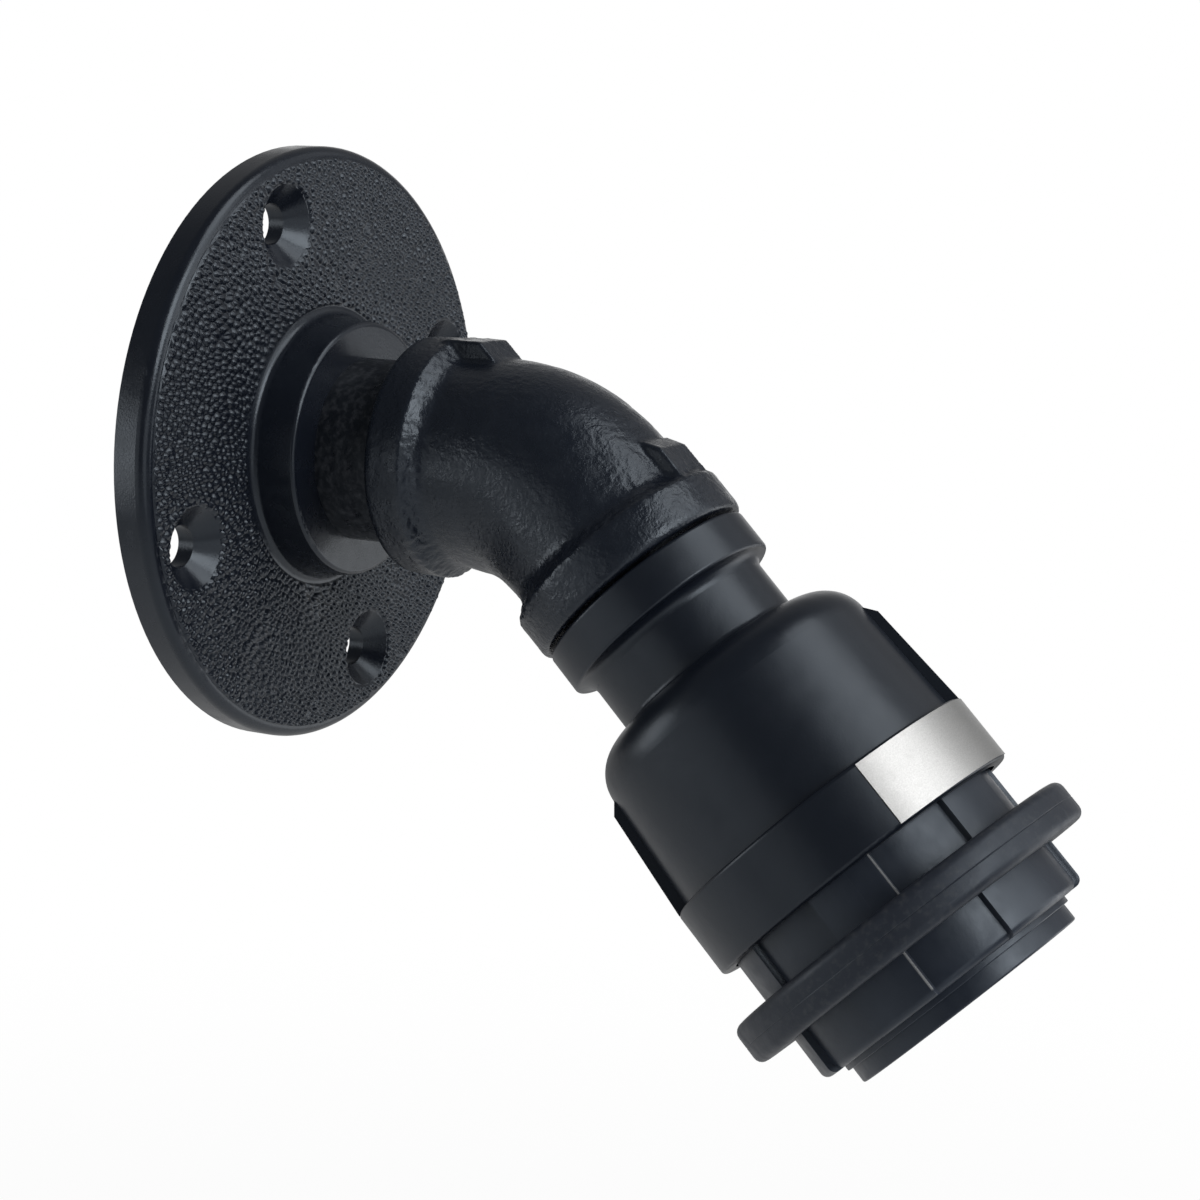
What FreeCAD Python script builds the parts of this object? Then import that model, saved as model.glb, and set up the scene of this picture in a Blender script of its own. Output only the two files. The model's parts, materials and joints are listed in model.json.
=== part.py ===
import FreeCAD, Part

# Pipe wall light: a round floor flange screwed to the wall, a short barrel nipple, a cast 45 degree
# elbow and a bell shaped cup that holds a screw lampholder with a shade ring.
#
# Frame: the origin is the centre of the flange's wall face, the wall is the plane Y = 0, the light
# stands out along -Y, and +Z is up. Millimetres.
#
# Two axes carry everything. Pieces on the wall axis have their own Z pointing out of the wall.
# Pieces on the lamp axis have their own Z pointing out of the lampholder's mouth, with Z = 0 at the
# bend centre, where the two axes meet, and their own Y pointing up and to the front.

import math
import os
import re

import Sketcher
from FreeCAD import Placement, Rotation, Vector

X_AXIS = Vector(1, 0, 0)
Y_AXIS = Vector(0, 1, 0)
Z_AXIS = Vector(0, 0, 1)
OUT_OF_WALL_TURN = 90

# Driving dimensions: alias, value, what it is
SIZES = [
    # Wall flange
    ("flange_radius", 42.5, "outside of the flange"),
    ("flange_thickness", 5.0, "flange plate"),
    ("rim_round", 1.6, "rounded front edge of the plate"),
    ("hub_wall", 5.39, "wall of the hub at its flat front"),
    ("hub_draft", 0.95, "how much wider the hub leaves the plate"),
    ("hub_depth", 11.4, "wall to the hub's front"),
    ("hub_foot_round", 1.2, "fillet at the foot of the hub"),
    ("hub_edge_round", 0.7, "rounded front edge of the hub"),
    ("screw_edge", 9.0, "screw hole's centre from the flange's edge"),
    ("screw_hole_radius", 2.9, "wall screw hole"),
    ("screw_mouth_step", 2.7, "countersunk mouth wider than the hole"),
    ("screw_mouth_depth", 2.5, "depth of the countersink"),
    ("screw_circle_turn", 20.0, "degrees, first screw hole from +X"),
    # Pipe thread and bores shared by every fitting
    ("pipe_thread_radius", 12.6, "outside of a threaded pipe end"),
    ("pipe_wall", 2.2, "wall of a nipple at its thread"),
    ("thread_gap", 0.06, "radial play of a screwed joint"),
    ("thread_reach", 10.5, "how deep a pipe end screws in"),
    ("thread_spare", 1.0, "thread left beyond a screwed end"),
    ("seat_gap", 0.3, "play between faces that turn on each other"),
    # Wall nipple
    ("barrel_stand", 0.4, "nipple's barrel proud of its threads"),
    # Elbow
    ("wall_reach", 42.0, "wall to the bend centre"),
    ("lamp_tilt", 45.0, "degrees, lamp axis below the horizontal"),
    ("elbow_reach", 20.4, "bend centre to either end of the elbow"),
    ("elbow_wall", 1.84, "body of the elbow outside its threads"),
    ("bend_inside", 4.5, "inner side of the bend, from its centre"),
    ("passage_play", 0.2, "cast passage wider than a nipple's bore"),
    ("collar_stand", 2.3, "end collars proud of the body"),
    ("collar_width", 5.6, "width of an elbow collar"),
    ("collar_slope", 2.1, "length of the sloping shoulder behind a collar"),
    ("collar_round", 0.9, "rounded front edges of the collars"),
    ("collar_back_round", 0.5, "rounded edge where the shoulder starts"),
    ("collar_foot_round", 2.4, "fillet at the foot of the shoulder"),
    ("lug_width", 8.0, "cast lugs behind the collars"),
    ("wall_lug_reach", 4.7, "flat top of the lug by the wall collar"),
    ("cup_lug_reach", 5.2, "flat top of the lug by the cup collar"),
    ("cup_lug_drop", 0.8, "cup lug below its collar"),
    ("lug_slope", 2.4, "length of a lug's sloping end"),
    # Lamp cup
    ("cup_gap", 0.9, "dark line between the elbow and the cup"),
    ("cup_collar_stand", 2.3, "small collar proud of the waist"),
    ("cup_collar_width", 5.9, "width of that collar"),
    ("cup_collar_round", 0.5, "rounded edges of that collar"),
    ("neck_wall", 1.24, "waist of the cup outside its thread"),
    ("neck_length", 8.9, "collar to shoulder"),
    ("neck_round", 1.7, "hollow below the collar"),
    ("shoulder_foot_round", 0.9, "hollow at the foot of the shoulder"),
    ("shoulder_flat", 0.1, "flat left between the shoulder's two rounds"),
    ("bell_wall", 2.6, "wall of the bell at the shoulder"),
    ("band_stand", 1.5, "band proud of the bell"),
    ("band_wall", 2.0, "wall of the band at the mouth"),
    ("band_width", 9.9, "width of the band"),
    ("band_round", 0.6, "rounded edges of the band"),
    ("rib_stand", 1.3, "ribs proud of the bell"),
    ("rib_width", 7.0, "width of a rib"),
    ("rib_angle", 64.7, "degrees, middle of the first rib"),
    ("rib_slope", 1.7, "chamfered top end of a rib"),
    ("rib_root", 1.5, "rib sunk in the bell's wall"),
    ("cavity_play", 0.5, "inside of the bell round the holder's cap"),
    ("cavity_round", 2.0, "rounded top of the cavity"),
    ("mouth_play", 0.3, "counterbore round the holder's skirt"),
    ("mouth_depth", 4.6, "depth of the counterbore"),
    # Bush, tube and nuts that carry the lampholder
    ("bush_stand", 0.9, "bush's hexagon proud of its thread"),
    ("bush_head_height", 3.4, "height of that hexagon"),
    ("tube_radius", 5.0, "threaded lamp tube"),
    ("tube_wall", 1.3, "wall of the lamp tube"),
    ("nut_stand", 2.0, "flats of a lock nut, from the tube"),
    ("nut_height", 2.6, "height of a lock nut"),
    ("tag_width", 2.54, "ring of the earth tag"),
    ("tag_thickness", 0.8, "sheet of the earth tag"),
    ("tag_arm_width", 5.0, "arm of the earth tag"),
    ("tag_gap", 0.12, "arm clear of the nut's corner"),
    ("tag_arm_drop", 6.5, "bent down end of the arm"),
    # Lampholder
    ("cap_wall", 1.4, "wall of the holder cap"),
    ("cap_boss_wall", 2.94, "boss round the lamp tube"),
    ("cap_boss_height", 6.0, "height of that boss"),
    ("cap_dome_height", 3.5, "rise of the cap's dome"),
    ("cap_round", 2.5, "rounded shoulder of the cap"),
    ("grub_radius", 1.5, "grub screw in the boss"),
    ("grub_head_stand", 0.6, "grub screw proud of the boss"),
    ("block_stand", 0.65, "porcelain block wider than the shell's seat"),
    ("block_height", 4.2, "height of the block"),
    ("block_boss_radius", 5.5, "raised middle of the block"),
    ("block_boss_height", 0.8, "height of that boss"),
    ("block_foot_recess", 1.2, "hollow of the block's lower face"),
    ("block_foot_width", 2.2, "rim round that hollow"),
    ("block_play", 0.2, "play round the block"),
    ("terminal_length", 6.0, "terminal block along the wire"),
    ("terminal_width", 5.0, "terminal block across"),
    ("terminal_height", 4.6, "height of a terminal"),
    ("terminal_gap", 0.4, "terminal clear of the lock nut"),
    ("terminal_screw_radius", 1.5, "terminal screw"),
    ("terminal_screw_head_radius", 2.1, "head of that screw"),
    ("terminal_screw_head_height", 0.9, "height of that head"),
    ("core_entry", 2.0, "core inside its terminal"),
    ("skirt_stand", 3.4, "raised segments of the skirt proud of the cap"),
    ("skirt_step", 0.9, "recessed segments below them"),
    ("skirt_show", 18.7, "skirt outside the cup"),
    ("skirt_insert", 4.2, "skirt inside the cup's mouth"),
    ("skirt_round", 1.1, "rounded lower edge of the skirt"),
    ("recess_angle", 33.0, "degrees, width of a recessed segment"),
    ("upper_recess_angle", 134.5, "degrees, middle of an upper recess"),
    ("lower_recess_angle", 145.25, "degrees, middle of a lower recess"),
    ("spigot_height", 4.2, "threaded spigot inside the cap"),
    ("spigot_wall", 1.54, "wall of that spigot"),
    ("skirt_floor", 1.4, "ledge that carries the block"),
    ("skirt_floor_width", 1.9, "ledge beyond the shell's seat"),
    ("lip_wall", 3.45, "lip round the lamp's mouth"),
    ("lip_height", 3.2, "lip below the skirt"),
    ("lip_disc_stand", 0.7, "thin disc at the lip's root"),
    ("lip_disc_height", 0.8, "height of that disc"),
    ("lip_round", 0.3, "rounded end of the lip"),
    ("lamp_entry_radius", 13.35, "lamp cap's clear radius in the shell"),
    ("shell_thickness", 0.4, "brass screw shell"),
    ("shell_length", 19.0, "length of the screw shell"),
    ("shell_lip_width", 1.6, "shell's flange under the ledge"),
    ("shell_play", 0.2, "play round the shell"),
    ("strip_thickness", 0.5, "brass contact strips"),
    ("strip_width", 5.0, "width of the centre contact"),
    ("contact_root", 7.5, "root of the centre contact from the axis"),
    ("contact_tip", 2.5, "tip of the centre contact past the axis"),
    ("contact_short", 0.1, "tip of the centre contact short of the shell's wall"),
    ("contact_foot", 3.0, "flat foot of the centre contact"),
    ("side_strip_width", 4.0, "width of the side contact"),
    ("side_strip_root", 4.0, "inner end of the side contact from the axis"),
    # Shade ring
    ("ring_stand", 5.6, "shade ring proud of its bore"),
    ("ring_height", 5.8, "height of the shade ring"),
    ("ring_round", 1.3, "rounded edges of the shade ring"),
    ("ring_gap", 0.1, "radial play of the ring on the skirt"),
    ("ring_place", 6.3, "cup's mouth to the ring"),
    # Label
    ("label_thickness", 0.15, "foil label round the band"),
    ("label_angle", 138.0, "degrees, first edge of the label"),
    ("label_sweep_angle", 68.0, "degrees, how far it goes round"),
    ("label_inset", 0.35, "label short of the band's edges"),
    ("label_gap", 0.02, "adhesive under the label"),
    # Internal wiring
    ("core_radius", 0.95, "insulated core"),
    ("core_gap", 0.22, "play between neighbouring cores"),
    ("sheath_wall", 0.55, "sheath round the cores"),
    ("tail_length", 5.0, "cores bare of sheath behind the flange"),
    ("tail_inset", 1.0, "tails short of the wall"),
    ("core_rise", 1.2, "cores straight on past the tube"),
    ("wiring_room", 0.75, "cores clear of the porcelain's boss"),
    ("core_bend_share", 0.35, "share of a run that a core's bend takes"),
    # Overrun of every cut
    ("overrun", 2.0, "how far a cut runs past the solid"),
]

SCREW_HOLES = 4
SEGMENTS = 6
RIBS = 2
HEXAGON = 6
FULL_TURN = 360
HALF_TURN = 180


# Document and sheet

doc = FreeCAD.newDocument("PipeWallLight")
sheet = doc.addObject("Spreadsheet::Sheet", "Sizes")
for row, (alias, number, note) in enumerate(SIZES, start=1):
    sheet.set("A%d" % row, note)
    sheet.set("B%d" % row, str(number))
    sheet.setAlias("B%d" % row, alias)
doc.recompute()

ALIAS_WORD = re.compile(r"\b(%s)\b" % "|".join(entry[0] for entry in SIZES))

# Radii and places worked out from the driving dimensions: what holds a piece follows that piece
PLACES = {
    # Radii on the wall axis and of the fittings' threads
    "thread_hole": "(pipe_thread_radius + thread_gap)",
    "hub_front_radius": "(thread_hole + hub_wall)",
    "hub_foot_radius": "(hub_front_radius + hub_draft)",
    "screw_circle_radius": "(flange_radius - screw_edge)",
    "screw_mouth_radius": "(screw_hole_radius + screw_mouth_step)",
    "pipe_bore_radius": "(pipe_thread_radius - pipe_wall)",
    "barrel_radius": "(pipe_thread_radius + barrel_stand)",
    "elbow_radius": "(thread_hole + elbow_wall)",
    "bend_radius": "(elbow_radius + bend_inside)",
    "passage_radius": "(pipe_bore_radius + passage_play)",
    "collar_radius": "(elbow_radius + collar_stand)",
    # Radii on the lamp axis, from the lamp cap outwards
    "shell_radius": "(lamp_entry_radius + shell_thickness)",
    "shell_seat": "(shell_radius + shell_play)",
    "lip_radius": "(shell_seat + lip_wall)",
    "block_radius": "(shell_seat + block_stand)",
    "block_seat": "(block_radius + block_play)",
    "spigot_radius": "(block_seat + spigot_wall)",
    "cap_radius": "(spigot_radius + thread_gap + cap_wall)",
    "skirt_radius": "(cap_radius + skirt_stand)",
    "ring_bore": "(skirt_radius + ring_gap)",
    "ring_radius": "(ring_bore + ring_stand)",
    "cavity_radius": "(cap_radius + cavity_play)",
    "bell_top_radius": "(cavity_radius + bell_wall)",
    "mouth_radius": "(skirt_radius + mouth_play)",
    "band_radius": "(mouth_radius + band_wall)",
    "bell_end_radius": "(band_radius - band_stand)",
    "neck_radius": "(thread_hole + neck_wall)",
    "cup_collar_radius": "(neck_radius + cup_collar_stand)",
    "shoulder_round": "(bell_top_radius - neck_radius - shoulder_foot_round - shoulder_flat)",
    # Radii round the lamp tube and the wires
    "tube_hole": "(tube_radius + thread_gap)",
    "tube_bore_radius": "(tube_radius - tube_wall)",
    "tag_radius": "(tube_hole + tag_width)",
    "cap_boss_radius": "(tube_hole + cap_boss_wall)",
    "bush_flats": "(2 * (pipe_thread_radius + bush_stand))",
    "nut_flats": "(2 * (tube_radius + nut_stand))",
    "nut_corner": "(nut_flats / 2 / cos(%d))" % (HALF_TURN // HEXAGON),
    "tag_arm_reach": "(nut_corner + tag_gap + tag_thickness)",
    "terminal_place": "(nut_flats / 2 + terminal_gap + terminal_length / 2)",
    "core_offset": "((2 * core_radius + core_gap) / sqrt(2))",
    "cable_radius": "(core_offset + core_radius + sheath_wall)",
    # Places along the wall axis
    "elbow_wall_face": "(wall_reach - elbow_reach)",
    # Places along the lamp axis, from the elbow to the lamp's mouth
    "tangent_point": "(bend_radius * tan(lamp_tilt / 2))",
    "lug_base": "(elbow_reach - collar_width)",
    "lug_root": "(elbow_radius - collar_round)",
    "cup_top": "(elbow_reach + cup_gap)",
    "neck_top": "(cup_top + cup_collar_width)",
    "shoulder_top": "(neck_top + neck_length)",
    "bell_top": "(shoulder_top + shoulder_round)",
    "bush_top": "(cup_top + thread_reach + thread_spare)",
    "cavity_top": "(cup_top + 2 * thread_reach - thread_spare)",
    "bush_end": "(cavity_top + bush_head_height)",
    "cap_top": "(bush_end + nut_height)",
    "boss_end": "(cap_top + cap_boss_height)",
    "ceiling": "(boss_end + cap_wall)",
    "inner_nut_end": "(ceiling + tag_thickness + nut_height)",
    "tube_end": "(inner_nut_end + seat_gap)",
    "core_level": "(tube_end + core_rise)",
    "block_top": "(core_level + core_radius + wiring_room + block_boss_height)",
    "terminal_top": "(block_top - terminal_height)",
    "block_end": "(block_top + block_height)",
    "recess_face": "(block_end - block_foot_recess)",
    "contact_seat": "(recess_face + seat_gap)",
    "shell_top": "(block_end + skirt_floor)",
    "contact_end": "(shell_top + shell_thickness - contact_short)",
    "skirt_top": "(block_end - skirt_floor)",
    "spigot_top": "(skirt_top - spigot_height)",
    "mouth": "(skirt_top + skirt_insert)",
    "band_top": "(mouth - band_width)",
    "skirt_end": "(mouth + skirt_show)",
    "lip_end": "(skirt_end + lip_height)",
    "ring_top": "(mouth + ring_place)",
    "ring_split": "(ring_top + ring_height / 2)",
    # Ends of the internal lead, from the bend centre
    "lead_end": "(cup_top + thread_reach / 2)",
    "lead_start": "(wall_reach - tail_inset - tail_length)",
}
PLACE_WORD = re.compile(r"\b(%s)\b" % "|".join(PLACES))


def linked(text):
    """The expression that FreeCAD reads, with every name led back to the sheet."""
    while PLACE_WORD.search(text):
        text = PLACE_WORD.sub(lambda found: PLACES[found.group(1)], text)
    return ALIAS_WORD.sub(r"Sizes.\1", text)


def size(text):
    return float(sheet.evalExpression(linked(text)))


def bind(target, **properties):
    for name, text in properties.items():
        target.setExpression(name, linked(text))


# Sketches and features

def on_wall_axis(piece):
    """The piece's Z points out of the wall."""
    piece.Placement = Placement(Vector(), Rotation(X_AXIS, OUT_OF_WALL_TURN))
    return piece


def on_lamp_axis(piece):
    """The piece's Z points out of the lampholder, from the bend centre."""
    piece.Placement = Placement(Vector(), Rotation(X_AXIS, OUT_OF_WALL_TURN))
    piece.setExpression("Placement.Base.y", linked("-wall_reach"))
    piece.setExpression("Placement.Rotation.Angle", linked("%d + lamp_tilt" % OUT_OF_WALL_TURN))
    return piece


def new_body(label):
    return doc.addObject("PartDesign::Body", label)


def new_sketch(body, name, role="XZ_Plane", lift=None, turn=None, swing=None, arm=None):
    """A sketch on an origin plane, lifted off it, turned in it or swung about its own Y.

    arm puts an XY sketch square across the wall arm, that far from the bend centre.
    """
    sketch = body.newObject("Sketcher::SketchObject", name)
    plane = [face for face in body.Origin.OriginFeatures if face.Role == role][0]
    sketch.AttachmentSupport = [(plane, "")]
    sketch.MapMode = "FlatFace"
    if swing or arm:
        sketch.AttachmentOffset = Placement(Vector(), Rotation(Y_AXIS if swing else X_AXIS, HALF_TURN / 2))
    if lift:
        sketch.setExpression("AttachmentOffset.Base.z", linked(lift))
    if arm:
        sketch.setExpression("AttachmentOffset.Base.y", linked("-(%s) * sin(lamp_tilt)" % arm))
        sketch.setExpression("AttachmentOffset.Base.z", linked("-(%s) * cos(lamp_tilt)" % arm))
        turn = "%d - lamp_tilt" % HALF_TURN
    if turn or swing:
        sketch.setExpression("AttachmentOffset.Rotation.Angle", linked(turn or swing))
    return sketch


def hold(sketch, constraint, text):
    """Adds a dimension whose value is an expression."""
    number = sketch.addConstraint(constraint)
    sketch.setExpression("Constraints[%d]" % number, linked(text))


def pin_point(sketch, geometry, end, across, along):
    """Holds one point of the sketch at the place that two expressions give."""
    for kind, text, axis in (("DistanceX", across, -2), ("DistanceY", along, -1)):
        if text == "0":
            sketch.addConstraint(Sketcher.Constraint("PointOnObject", geometry, end, axis))
        else:
            hold(sketch, Sketcher.Constraint(kind, -1, 1, geometry, end, size(text)), text)


def rounded_corner(before, corner, after, radius):
    """A tangent arc's two ends, its centre and whether the outline turns left along it."""
    back = (before - corner).normalize()
    ahead = (after - corner).normalize()
    half_angle = back.getAngle(ahead) / 2
    reach = radius / math.tan(half_angle)
    centre = corner + (back + ahead).normalize() * (radius / math.sin(half_angle))
    turns_left = ahead.cross(back).z > 0
    return corner + back * reach, corner + ahead * reach, centre, turns_left


def add_arc(sketch, start, end, centre, turns_left, radius):
    first, last = (start, end) if turns_left else (end, start)
    angles = [math.atan2((point - centre).y, (point - centre).x) for point in (first, last)]
    circle = Part.Circle(centre, Z_AXIS, radius)
    return sketch.addGeometry(Part.ArcOfCircle(circle, angles[0], angles[1]))


def outline(sketch, corners):
    """A closed profile. A corner is two expressions, and a third where it is rounded."""
    count = len(corners)
    points = [Vector(size(corner[0]), size(corner[1]), 0) for corner in corners]
    arrives, leaves, arcs = list(points), list(points), {}
    for index, corner in enumerate(corners):
        if len(corner) == 3:
            radius = size(corner[2])
            start, end, centre, left = rounded_corner(
                points[index - 1], points[index], points[(index + 1) % count], radius)
            arrives[index], leaves[index] = start, end
            arcs[index] = (add_arc(sketch, start, end, centre, left, radius), left)
    lines = [sketch.addGeometry(Part.LineSegment(leaves[index], arrives[(index + 1) % count]))
             for index in range(count)]
    for index, corner in enumerate(corners):
        before, after = lines[index - 1], lines[index]
        if index not in arcs:
            sketch.addConstraint(Sketcher.Constraint("Coincident", before, 2, after, 1))
            pin_point(sketch, after, 1, corner[0], corner[1])
            continue
        arc, left = arcs[index]
        first, last = (1, 2) if left else (2, 1)
        sketch.addConstraint(Sketcher.Constraint("Tangent", before, 2, arc, first))
        sketch.addConstraint(Sketcher.Constraint("Tangent", arc, last, after, 1))
        hold(sketch, Sketcher.Constraint("Radius", arc, size(corner[2])), corner[2])
        peak = sketch.addGeometry(Part.Point(points[index]), True)
        sketch.addConstraint(Sketcher.Constraint("PointOnObject", peak, 1, before))
        sketch.addConstraint(Sketcher.Constraint("PointOnObject", peak, 1, after))
        pin_point(sketch, peak, 1, corner[0], corner[1])


def add_circle(sketch, across, along, radius):
    place = Vector(size(across), size(along), 0)
    circle = sketch.addGeometry(Part.Circle(place, Z_AXIS, size(radius)))
    pin_point(sketch, circle, 3, across, along)
    hold(sketch, Sketcher.Constraint("Radius", circle, size(radius)), radius)


def turned(body, name, sketch, cut=False, sweep=None, axis="V_Axis", backwards=False):
    """Revolves a sketch, all the way round or over a sweep."""
    feature = body.newObject("PartDesign::Groove" if cut else "PartDesign::Revolution", name)
    feature.Profile = sketch
    feature.ReferenceAxis = (sketch, [axis])
    feature.Angle = FULL_TURN
    feature.Reversed = backwards
    if sweep:
        bind(feature, Angle=sweep)
    return feature


def lathe(body, name, corners, cut=False, **place):
    sketch = new_sketch(body, name + "_profile", **place)
    outline(sketch, corners)
    return turned(body, name, sketch, cut)


def extrude(body, name, sketch, length, cut=False, symmetric=False, backwards=False):
    feature = body.newObject("PartDesign::Pocket" if cut else "PartDesign::Pad", name)
    feature.Profile = sketch
    feature.SideType = "Symmetric" if symmetric else "One side"
    feature.Reversed = backwards
    bind(feature, Length=length)
    return feature


def repeat(body, name, original, copies):
    pattern = body.newObject("PartDesign::PolarPattern", name)
    pattern.Originals = [original]
    axis = [line for line in body.Origin.OriginFeatures if line.Role == "Z_Axis"][0]
    pattern.Axis = (axis, [""])
    pattern.Angle = FULL_TURN
    pattern.Occurrences = copies
    body.Tip = pattern
    return pattern


def bend(body, name, radius, cut=False):
    """The curved middle of a bent piece, from the lamp axis round to the wall axis."""
    sketch = new_sketch(body, name + "_section", role="XY_Plane", lift="tangent_point")
    add_circle(sketch, "0", "0", radius)
    reach = size("bend_radius")
    half = Vector(size(radius), 0, 0)
    centre = Vector(0, -reach, 0)
    hinge = sketch.addGeometry(Part.LineSegment(centre - half, centre + half), True)
    sketch.addConstraint(Sketcher.Constraint("Horizontal", hinge))
    pin_point(sketch, hinge, 1, "-(%s)" % radius, "-bend_radius")
    hold(sketch, Sketcher.Constraint("DistanceX", -1, 1, hinge, 2, size(radius)), radius)
    return turned(body, name, sketch, cut, sweep="lamp_tilt", axis="Axis0", backwards=True)


# Part primitives on the lamp axis

def solid(kind, name, lift="0", across="0", **sizes):
    piece = doc.addObject(kind, name)
    bind(piece, **sizes)
    piece.setExpression("Placement.Base.z", linked(lift))
    piece.setExpression("Placement.Base.x", linked(across))
    return piece


def cylinder(name, radius, height, lift, across="0"):
    return solid("Part::Cylinder", name, lift, across, Radius=radius, Height=height)


def hexagon(name, flats, height, lift):
    prism = solid("Part::Prism", name, lift, Circumradius="%s / 2 / cos(%d)" % (flats, HALF_TURN // HEXAGON),
                  Height=height)
    prism.Polygon = HEXAGON
    prism.Placement.Rotation = Rotation(Z_AXIS, HALF_TURN / HEXAGON)
    return prism


def without(label, base, tool):
    cut = doc.addObject("Part::Cut", label)
    cut.Base, cut.Tool = base, tool
    return cut


def joined(label, *pieces):
    fuse = doc.addObject("Part::MultiFuse", label)
    fuse.Shapes = list(pieces)
    return fuse


def grouped(label, *pieces):
    group = doc.addObject("Part::Compound", label)
    group.Links = list(pieces)
    return group


# Pieces fixed to the wall

def make_wall_flange():
    body = on_wall_axis(new_body("wall_flange"))
    lathe(body, "plate_and_hub", [
        ("thread_hole", "0"),
        ("flange_radius", "0"),
        ("flange_radius", "flange_thickness", "rim_round"),
        ("hub_foot_radius", "flange_thickness", "hub_foot_round"),
        ("hub_front_radius", "hub_depth", "hub_edge_round"),
        ("thread_hole", "hub_depth")])
    place = new_sketch(body, "screw_place", role="XY_Plane", lift="flange_thickness")
    add_circle(place, "screw_circle_radius * cos(screw_circle_turn)",
               "screw_circle_radius * sin(screw_circle_turn)", "screw_hole_radius")
    doc.recompute()
    hole = body.newObject("PartDesign::Hole", "screw_hole")
    hole.Profile = place
    hole.Threaded = False
    hole.DepthType = "ThroughAll"
    hole.HoleCutType = "Countersink"
    hole.HoleCutCustomValues = True
    bind(hole, Diameter="2 * screw_hole_radius", HoleCutDiameter="2 * screw_mouth_radius",
         HoleCutCountersinkAngle="2 * atan((screw_mouth_radius - screw_hole_radius) / screw_mouth_depth)")
    repeat(body, "screw_holes", hole, SCREW_HOLES)
    return body


def make_wall_nipple():
    body = on_wall_axis(new_body("wall_nipple"))
    lathe(body, "barrel", [
        ("pipe_bore_radius", "thread_spare"),
        ("pipe_thread_radius", "thread_spare"),
        ("pipe_thread_radius", "hub_depth"),
        ("barrel_radius", "hub_depth"),
        ("barrel_radius", "elbow_wall_face - seat_gap"),
        ("pipe_thread_radius", "elbow_wall_face - seat_gap"),
        ("pipe_thread_radius", "elbow_wall_face + thread_reach"),
        ("pipe_bore_radius", "elbow_wall_face + thread_reach")])
    return body


# Pieces that turn with the elbow

WALL_ARM_TURN = "%d - lamp_tilt" % HALF_TURN


def add_lug(body, name, side, top, reach, **arm):
    """A cast lug behind a collar, flat on top and sloping down to the elbow's body."""
    sketch = new_sketch(body, name + "_profile", role="YZ_Plane", **arm)
    flat_end = "lug_base - %s" % reach
    outline(sketch, [
        (side + "lug_root", "lug_base + collar_round"),
        (side + top, "lug_base + collar_round"),
        (side + top, flat_end),
        (side + "elbow_radius", flat_end + " - lug_slope"),
        (side + "lug_root", flat_end + " - lug_slope")])
    extrude(body, name, sketch, "lug_width", symmetric=True)


def make_elbow():
    body = on_lamp_axis(new_body("elbow"))
    arm = [
        ("0", "tangent_point"),
        ("elbow_radius", "tangent_point"),
        ("elbow_radius", "lug_base - collar_slope", "collar_foot_round"),
        ("collar_radius", "lug_base", "collar_back_round"),
        ("collar_radius", "elbow_reach", "collar_round"),
        ("0", "elbow_reach")]
    bore = [
        ("0", "tangent_point"),
        ("passage_radius", "tangent_point"),
        ("passage_radius", "elbow_reach - thread_reach - thread_spare"),
        ("thread_hole", "elbow_reach - thread_reach - thread_spare"),
        ("thread_hole", "elbow_reach + overrun"),
        ("0", "elbow_reach + overrun")]
    lathe(body, "cup_arm", arm, role="YZ_Plane")
    bend(body, "bend", "elbow_radius")
    lathe(body, "wall_arm", arm, role="YZ_Plane", turn=WALL_ARM_TURN)
    add_lug(body, "cup_lug", "", "(collar_radius - cup_lug_drop)", "cup_lug_reach")
    add_lug(body, "wall_lug", "-", "collar_radius", "wall_lug_reach", turn=WALL_ARM_TURN)
    lathe(body, "cup_bore", bore, cut=True, role="YZ_Plane")
    bend(body, "bend_bore", "passage_radius", cut=True)
    lathe(body, "wall_bore", bore, cut=True, role="YZ_Plane", turn=WALL_ARM_TURN)
    return body


def make_cup_nipple():
    body = on_lamp_axis(new_body("cup_nipple"))
    lathe(body, "pipe", [
        ("pipe_bore_radius", "elbow_reach - thread_reach"),
        ("pipe_thread_radius", "elbow_reach - thread_reach"),
        ("pipe_thread_radius", "cup_top + thread_reach"),
        ("pipe_bore_radius", "cup_top + thread_reach")])
    return body


def core_places():
    """The three cores about the lead's centre: live, neutral and earth."""
    return [("core_offset", "0"), ("-core_offset", "0"), ("0", "core_offset")]


def make_internal_lead():
    """Sheathed lead along both axes, with its three cores bare behind the flange."""
    body = on_lamp_axis(new_body("internal_lead"))
    lathe(body, "cup_run", [
        ("0", "tangent_point"), ("cable_radius", "tangent_point"),
        ("cable_radius", "lead_end"), ("0", "lead_end")], role="YZ_Plane")
    bend(body, "lead_bend", "cable_radius")
    lathe(body, "wall_run", [
        ("0", "tangent_point"), ("cable_radius", "tangent_point"),
        ("cable_radius", "lead_start"), ("0", "lead_start")], role="YZ_Plane", turn=WALL_ARM_TURN)
    tails = new_sketch(body, "tail_section", role="XY_Plane", arm="lead_start")
    for across, along in core_places():
        add_circle(tails, across, along, "core_radius")
    extrude(body, "tails", tails, "tail_length")
    return body


# Pieces of the lamp head

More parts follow.
